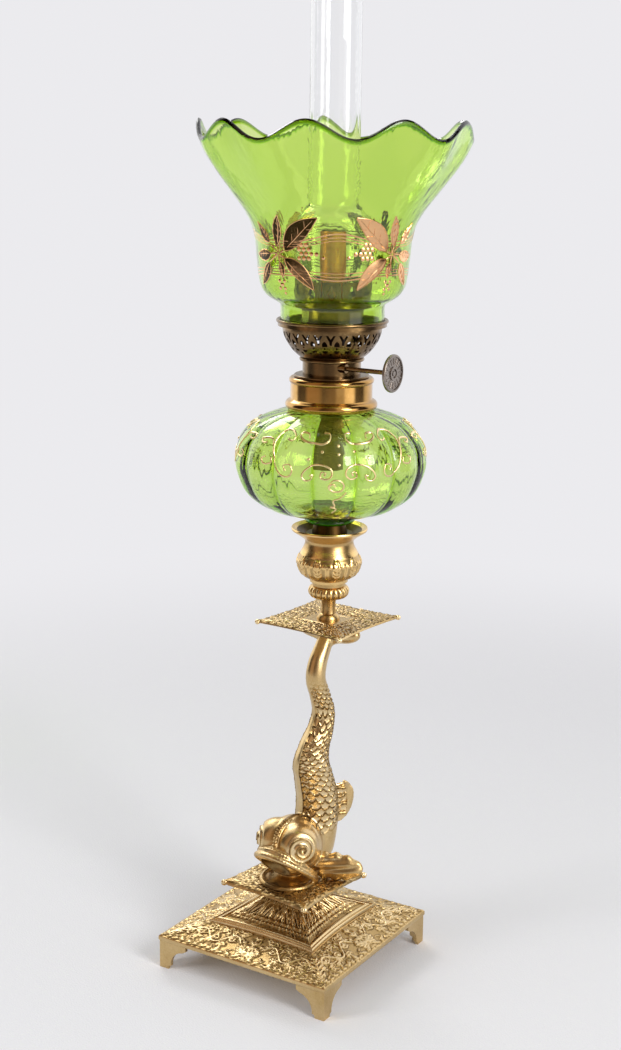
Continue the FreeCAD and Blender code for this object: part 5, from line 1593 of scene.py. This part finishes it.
class LAMP_OT_urn(bpy.types.Operator):
    """Model the candle socket with its leaves and the stem with its ribbed knop"""
    bl_idname = "lamp.urn"
    bl_label = "Urn"

    def execute(self, context):
        cast = made(urn_brass, context)
        self.add_urn(cast)
        self.add_stem(cast)
        return {"FINISHED"}

    def add_urn(self, material):
        """Urn turned about its axis with ten leaves round its lower half."""
        low, rim_z, high = SOCKET_LOW.z, SOCKET_HIGH.z, 0.0337
        rim = (SOCKET_HIGH.x - SOCKET_LOW.x) / 2
        knop, wide, bore, dish = 0.0125, 0.0194, 0.0117, rim_z - 0.0053
        floor = dish - 0.018
        belly = [(wide * r, low + high * up) for r, up in (
            (0.86, 0.14), (1.0, 0.34), (0.93, 0.5), (0.78, 0.67), (0.78, 0.78))]
        outline = profile((0.0005, low), [
            ((knop * 0.93, low),), ((knop * 0.95, low + high * 0.05),),
            (*belly, (rim * 0.86, low + high * 0.89)), ((rim * 0.985, low + high * 0.945),),
            ((rim, low + high * 0.97), (rim * 0.985, rim_z)), ((rim * 0.9, rim_z - high * 0.02),),
            ((rim * 0.7, dish + 0.0016), (0.0143, dish)), ((bore, dish),), ((bore, floor),),
            ((0.0005, floor),)], 0.00045)
        angles, sector = ring_angles(288), 2 * pi / 10
        x = np.abs((angles - radians(10)) % sector - sector / 2) * 0.0185
        radius, height = outline[:, :1], outline[:, 1:2]
        here, widest = np.arange(len(outline))[:, None], np.argmax(outline[:, 0])
        outside = here < widest
        up = height - (low + high * 0.09)
        rise = urn_relief().at(*np.broadcast_arrays(x, up)) * outside * (up > 0) * 0.8
        groove = bump(height, low + high * 0.50, 0.0006) * outside
        grid = turned(outline, angles, rise - 0.0003 * groove)
        tone = np.where(rise > 0, 0.3 + rise / 0.0008 * 0.6, 0.66) - 0.3 * groove
        tone = np.where(outside & (up > 0) & (up < 0.0138) & (rise <= 0.00005), 0.34, tone)
        tone = tone - 0.34 * bump(height, low + high * 0.70, high * 0.15) * outside
        # Painted shade: the inside of the cup is near black
        tone = np.where((here > widest + 3) & (radius < rim * 0.86), 0.02, tone)
        make_piece("urn", [skin(on_lamp(grid), np.clip(tone, 0, 1))], "candlestick", material,
                   ["candle_socket"], crease=45.0)

    def add_stem(self, material):
        """Stem with a smooth neck and a knop whose radius swings with twenty ribs."""
        high, top = 0.0241, SOCKET_LOW.z
        low = top - high
        knop, thin, spigot, rib_deep = 0.0125, 0.0047, 0.0034, 0.0009
        knop_z = low + high * 0.83
        outline = profile((0.0003, STEM_LOW.z), [
            ((spigot, STEM_LOW.z),), ((spigot, low),), ((thin * 1.5, low),),
            ((thin * 1.45, low + high * 0.06), (thin, low + high * 0.16)),
            ((thin * 0.92, low + high * 0.35), (thin * 1.05, low + high * 0.55)),
            ((knop * 0.85, low + high * 0.6),),
            ((knop, knop_z - high * 0.06), (knop * 0.8, knop_z + high * 0.07)), ((knop * 0.8, top),),
            ((0.0003, top),)], 0.0004)
        angles = ring_angles(240)
        near = bump(outline[:, 1:2], low + high * 0.74, high * 0.15) * (outline[:, :1] > knop * 0.6)
        valley = near * (1 - np.abs(np.cos(10 * angles)) ** 0.7)
        grid = turned(outline, angles, -rib_deep * valley)
        tone = np.clip(0.36 + 0.24 * near - 0.5 * valley, 0, 1)
        make_piece("stem", [skin(on_lamp(grid), tone)], "candlestick", material,
                   ["socket_stem"], crease=45.0)


# Gilding
def glass_place(line, reach, dip=None):
    """Function that lays a place (arc at the reach, height) on turned glass, lifted along its normal.

    The line runs up the glass, so its normal is the way to its right. A dip gives how far each angle's
    valley lies in, as a share of the line's third column."""
    left, heights = left_of(line), line[:, 1]

    def place(x, y, lift):
        angle = FRONT + x / reach
        radius = np.interp(y, heights, line[:, 0]) - lift * np.interp(y, heights, left[:, 0])
        if dip:
            radius = radius - np.interp(y, heights, line[:, 2]) * dip(angle)
        up = y - lift * np.interp(y, heights, left[:, 1])
        return on_lamp(np.stack([radius * np.cos(angle), radius * np.sin(angle), up], -1))
    return place


def lifted(place, height):
    """The same laying function, a height further off the glass."""
    return lambda x, y, lift: place(x, y, lift + height)


def ring_line(place, height, bulge, half):
    """Fine closed line round the shade whose height swells between the sprays."""
    steps, sides, thick = 360, 6, 0.00008
    angles, turn = ring_angles(steps), ring_angles(sides)
    up = SHADE_LOW.z + height + bulge * (0.5 + 0.5 * np.cos(4 * (angles - radians(4)))) ** 2
    x = np.broadcast_to(angles[:, None] * SHADE_REACH, (steps, sides))
    lift = np.broadcast_to(thick * (1 + np.cos(turn)), (steps, sides))
    return skin(place(x, up[:, None] + half * np.sin(turn), lift), 0.6, True)


def veined(x, y, tip_x, tip_y, half, notches):
    """A blade, and the strokes that stand on it: its rims, its stalk from the spray's middle, its rib and
    its veins."""
    flat = blade(x, y, tip_x, tip_y, half * 1.2, notches)
    strokes = []
    for edge in (-1, 1):
        rim = flat[:, :2] + edge * left_of(flat) * flat[:, 2:]
        strokes.append(np.concatenate([rim, np.full((len(rim), 1), 0.26)], 1))
    long_x, long_y = tip_x - x, tip_y - y
    heading = atan2(long_y, long_x)
    strokes.append(frond(0, 0, atan2(y, x), np.hypot(x, y), 0.0, 0.45))
    strokes.append(frond(x, y, heading, np.hypot(long_x, long_y) * 0.9, 0.05, 0.3))
    for t in (0.25, 0.45, 0.65):
        for turn in (-0.75, 0.75):
            root = x + long_x * t, y + long_y * t
            strokes.append(frond(*root, heading + turn, half * 0.95, 0.0, 0.2, 5))
    return flat, strokes


def grapes():
    """Place and radius of each grape: a bunch to the side, one that hangs, and two loose grapes."""
    beside = [(14.0 + 2.9 * a + 1.4 * (b % 2), 0.4 + 2.5 * (b - 1), 1.25)
              for b in range(4) for a in range(4 - abs(b - 1))]
    hanging = [(1.4 * (k % 2) + 2.4 * (k // 3) - 0.6, -15.5 - 2.1 * (k % 3), 1.1) for k in range(6)]
    return beside + hanging + [(28.0, -1.5, 1.0), (2.6, -22.4, 0.9)]


def spray(centre, side):
    """Flat and fine strokes of a vine spray: blades, and their rims and veins with tendrils and grapes.

    They are drawn in millimetres from the spray's middle, which lies at an angle in degrees."""
    blades = (  # foot, tip, half width, notches
        (-0.8, 4.3, 3.9, 21.5, 2.5, 5), (4.7, 1.9, 25.2, 20.6, 5.0, 1), (-7.0, 5.7, -14.4, 17, 2.4, 4),
        (4.3, -2.9, 22.1, -19.5, 3.9, 1), (-8.3, -5.7, -19.0, -18.5, 3.0, 1),
        (0.8, -4.8, 2.2, -13.5, 1.8, 3), (-6.5, -0.5, -22.0, -1.5, 2.8, 5))
    flat, fine = [], []
    for row in blades:
        shape, strokes = veined(*row)
        flat.append(shape)
        fine += strokes
    fine += [frond(0, 0, turn, 6.5, 0.5, 0.24, 7) for turn in ring_angles(11)]
    fine += [dot(*grape) for grape in grapes()]
    scale = np.array([side, 1.0, 1.0]) / MM_PER_METRE
    shift = np.array([radians(centre) * SHADE_REACH, SPRAY_Z, 0])
    return [stroke * scale + shift for stroke in flat], [stroke * scale + shift for stroke in fine]


SCROLLS = (  # degrees from the motif's middle, millimetres over the font's foot; drawn on both sides
    ((9.5, 87.8), (5.5, 87.3), (5.5, 84.5), (9.5, 82.5), (15, 82.5), (21.5, 83.5), (26, 85.8), (25, 87.6),
     (20.5, 87.1), (19.5, 84.9)),
    ((34.5, 84), (31, 83.2), (29.5, 85.6), (33.5, 88), (39.5, 88), (43, 84.9), (43.5, 80.1), (41.5, 74.1),
     (39, 68.4), (34.5, 64.2), (29.5, 64), (27.5, 67.1), (29, 70.7), (33, 69.9), (32, 67.1)),
    ((44, 79.8), (46, 82.7), (50, 83.2), (55, 82.2), (52, 80.3), (49.5, 81.1)),
    ((43, 73.3), (43, 70.2), (47.5, 69.4), (49.5, 72), (47, 73.6)),
    ((8.5, 65.5), (7.5, 66.9), (10, 67.4), (10.5, 64.2), (6.5, 63.6), (4, 66.2), (5, 69.6), (10, 71.5),
     (15.5, 70.9), (20, 67.9), (21.5, 64.6), (19.5, 62.3), (16.5, 62.9), (15.5, 65.5), (17, 65)))
PENDANT = (
    ((-2, 59.2), (-3, 60.8), (-5, 59.9), (-5.5, 57.9), (-2.5, 56.2), (1.5, 56.8), (3, 59.9), (0.5, 62.7),
     (-3.5, 62.7), (-6, 58.9)),
    ((4.5, 55.6), (1, 52.1), (-3, 50.4), (-2, 46.9), (-4.5, 46.3), (-1, 44.9), (-3.5, 42.3)))
SCROLL_DOTS = ((-10, 78.5), (0, 81.7), (0, 77.4), (0, 71.7), (10, 78.5), (-18, 74.3), (18, 75))
RING_LINES = (  # height over the shade's foot, swelling, half width
    (0.0506, 0.0048, 0.00046), (0.0490, 0.0044, 0.00030), (0.0476, 0.0040, 0.00030),
    (0.0316, -0.0022, 0.00046), (0.0331, -0.0018, 0.00030), (0.0346, -0.0013, 0.00030))


class LAMP_OT_gilding(bpy.types.Operator):
    """Model the gilded band and sprays of the shade and the raised scrolls of the font"""
    bl_idname = "lamp.gilding"
    bl_label = "Gilding"

    def execute(self, context):
        place = glass_place(bell_profile()[BELL_STEPS:], SHADE_REACH)
        skins = [ring_line(place, *row) for row in RING_LINES]
        for k in range(4):
            flat, fine = spray(-43 + 90 * k, -1 if k % 2 else 1)
            # Painted shade and light: every other spray is dark, the rest are pale
            tone = 0.8 if k % 2 else 0.05
            skins += [ribbon(stroke, lifted(place, 0.00010), 0.00007, tone=tone) for stroke in flat]
            skins += [ribbon(stroke, lifted(place, 0.00022), 0.00020, 6, tone=0.85) for stroke in fine]
        make_piece("shade_gilding", skins, "shade", made(gilding, context), crease=50.0)
        self.add_scrolls(context)
        return {"FINISHED"}

    def add_scrolls(self, context):
        """Three motifs of half-round scrolls and dots round the font, from its foot to under its neck."""
        reach = (FONT_HIGH.x - FONT_LOW.x) / 2
        below_neck = font_profile()[:-8]
        place = glass_place(below_neck, reach, lambda angle: LOBE_DEEP * (1 - lobe_wave(angle)))
        lines = [(table, side) for table in SCROLLS for side in (-1, 1)] + [(table, 1) for table in PENDANT]
        skins = []
        for centre in (5, 125, 245):
            for table, side in lines:
                line = smooth_line(table, 7)
                t = np.linspace(0, 1, len(line))
                buds = ramp(t, 0.94, 1) + ramp(-t, -0.06, 0)
                thick = 0.00034 + 0.00022 * np.sin(pi * t) + 0.0003 * buds
                x = np.radians(centre + side * line[:, 0]) * reach
                stroke = np.stack([x, FONT_LOW.z + line[:, 1] / MM_PER_METRE, thick], -1)
                skins.append(ribbon(stroke, lifted(place, 0.0001), 0.00042))
            for turn, up in SCROLL_DOTS:
                spot = dot(radians(centre + turn) * reach, FONT_LOW.z + up / MM_PER_METRE, 0.0009)
                skins.append(ribbon(spot, place, 0.0006))
        make_piece("font_scrolls", skins, "font", made(raised_gilding, context), crease=60.0)


class LAMP_PT_panel(bpy.types.Panel):
    """Sidebar list of the lamp's pieces"""
    bl_idname = "LAMP_PT_panel"
    bl_label = "Peg lamp"
    bl_space_type = "VIEW_3D"
    bl_region_type = "UI"
    bl_category = "Peg Lamp"

    def draw(self, context):
        for operator in OPERATORS:
            self.layout.operator(operator.bl_idname)


OPERATORS = (LAMP_OT_stage, LAMP_OT_base, LAMP_OT_fish, LAMP_OT_urn, LAMP_OT_font, LAMP_OT_burner,
             LAMP_OT_chimney, LAMP_OT_shade, LAMP_OT_gilding)
SETTINGS = {"lamp_stage": StageSettings, "lamp_metal": MetalSettings, "lamp_glass": GlassSettings,
            "lamp_fish": FishSettings}


def register():
    """Register the settings, operators and panel."""
    for group in SETTINGS.values():
        bpy.utils.register_class(group)
    for name, group in SETTINGS.items():
        setattr(bpy.types.Scene, name, PointerProperty(type=group))
    for cls in (*OPERATORS, LAMP_PT_panel):
        bpy.utils.register_class(cls)


def unregister():
    """Take away what register added."""
    for cls in (LAMP_PT_panel, *reversed(OPERATORS)):
        bpy.utils.unregister_class(cls)
    for name, group in SETTINGS.items():
        delattr(bpy.types.Scene, name)
        bpy.utils.unregister_class(group)


def main():
    """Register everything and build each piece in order."""
    register()
    for operator in OPERATORS:
        family, name = operator.bl_idname.split(".")
        getattr(getattr(bpy.ops, family), name)()


if __name__ == "__main__":
    main()
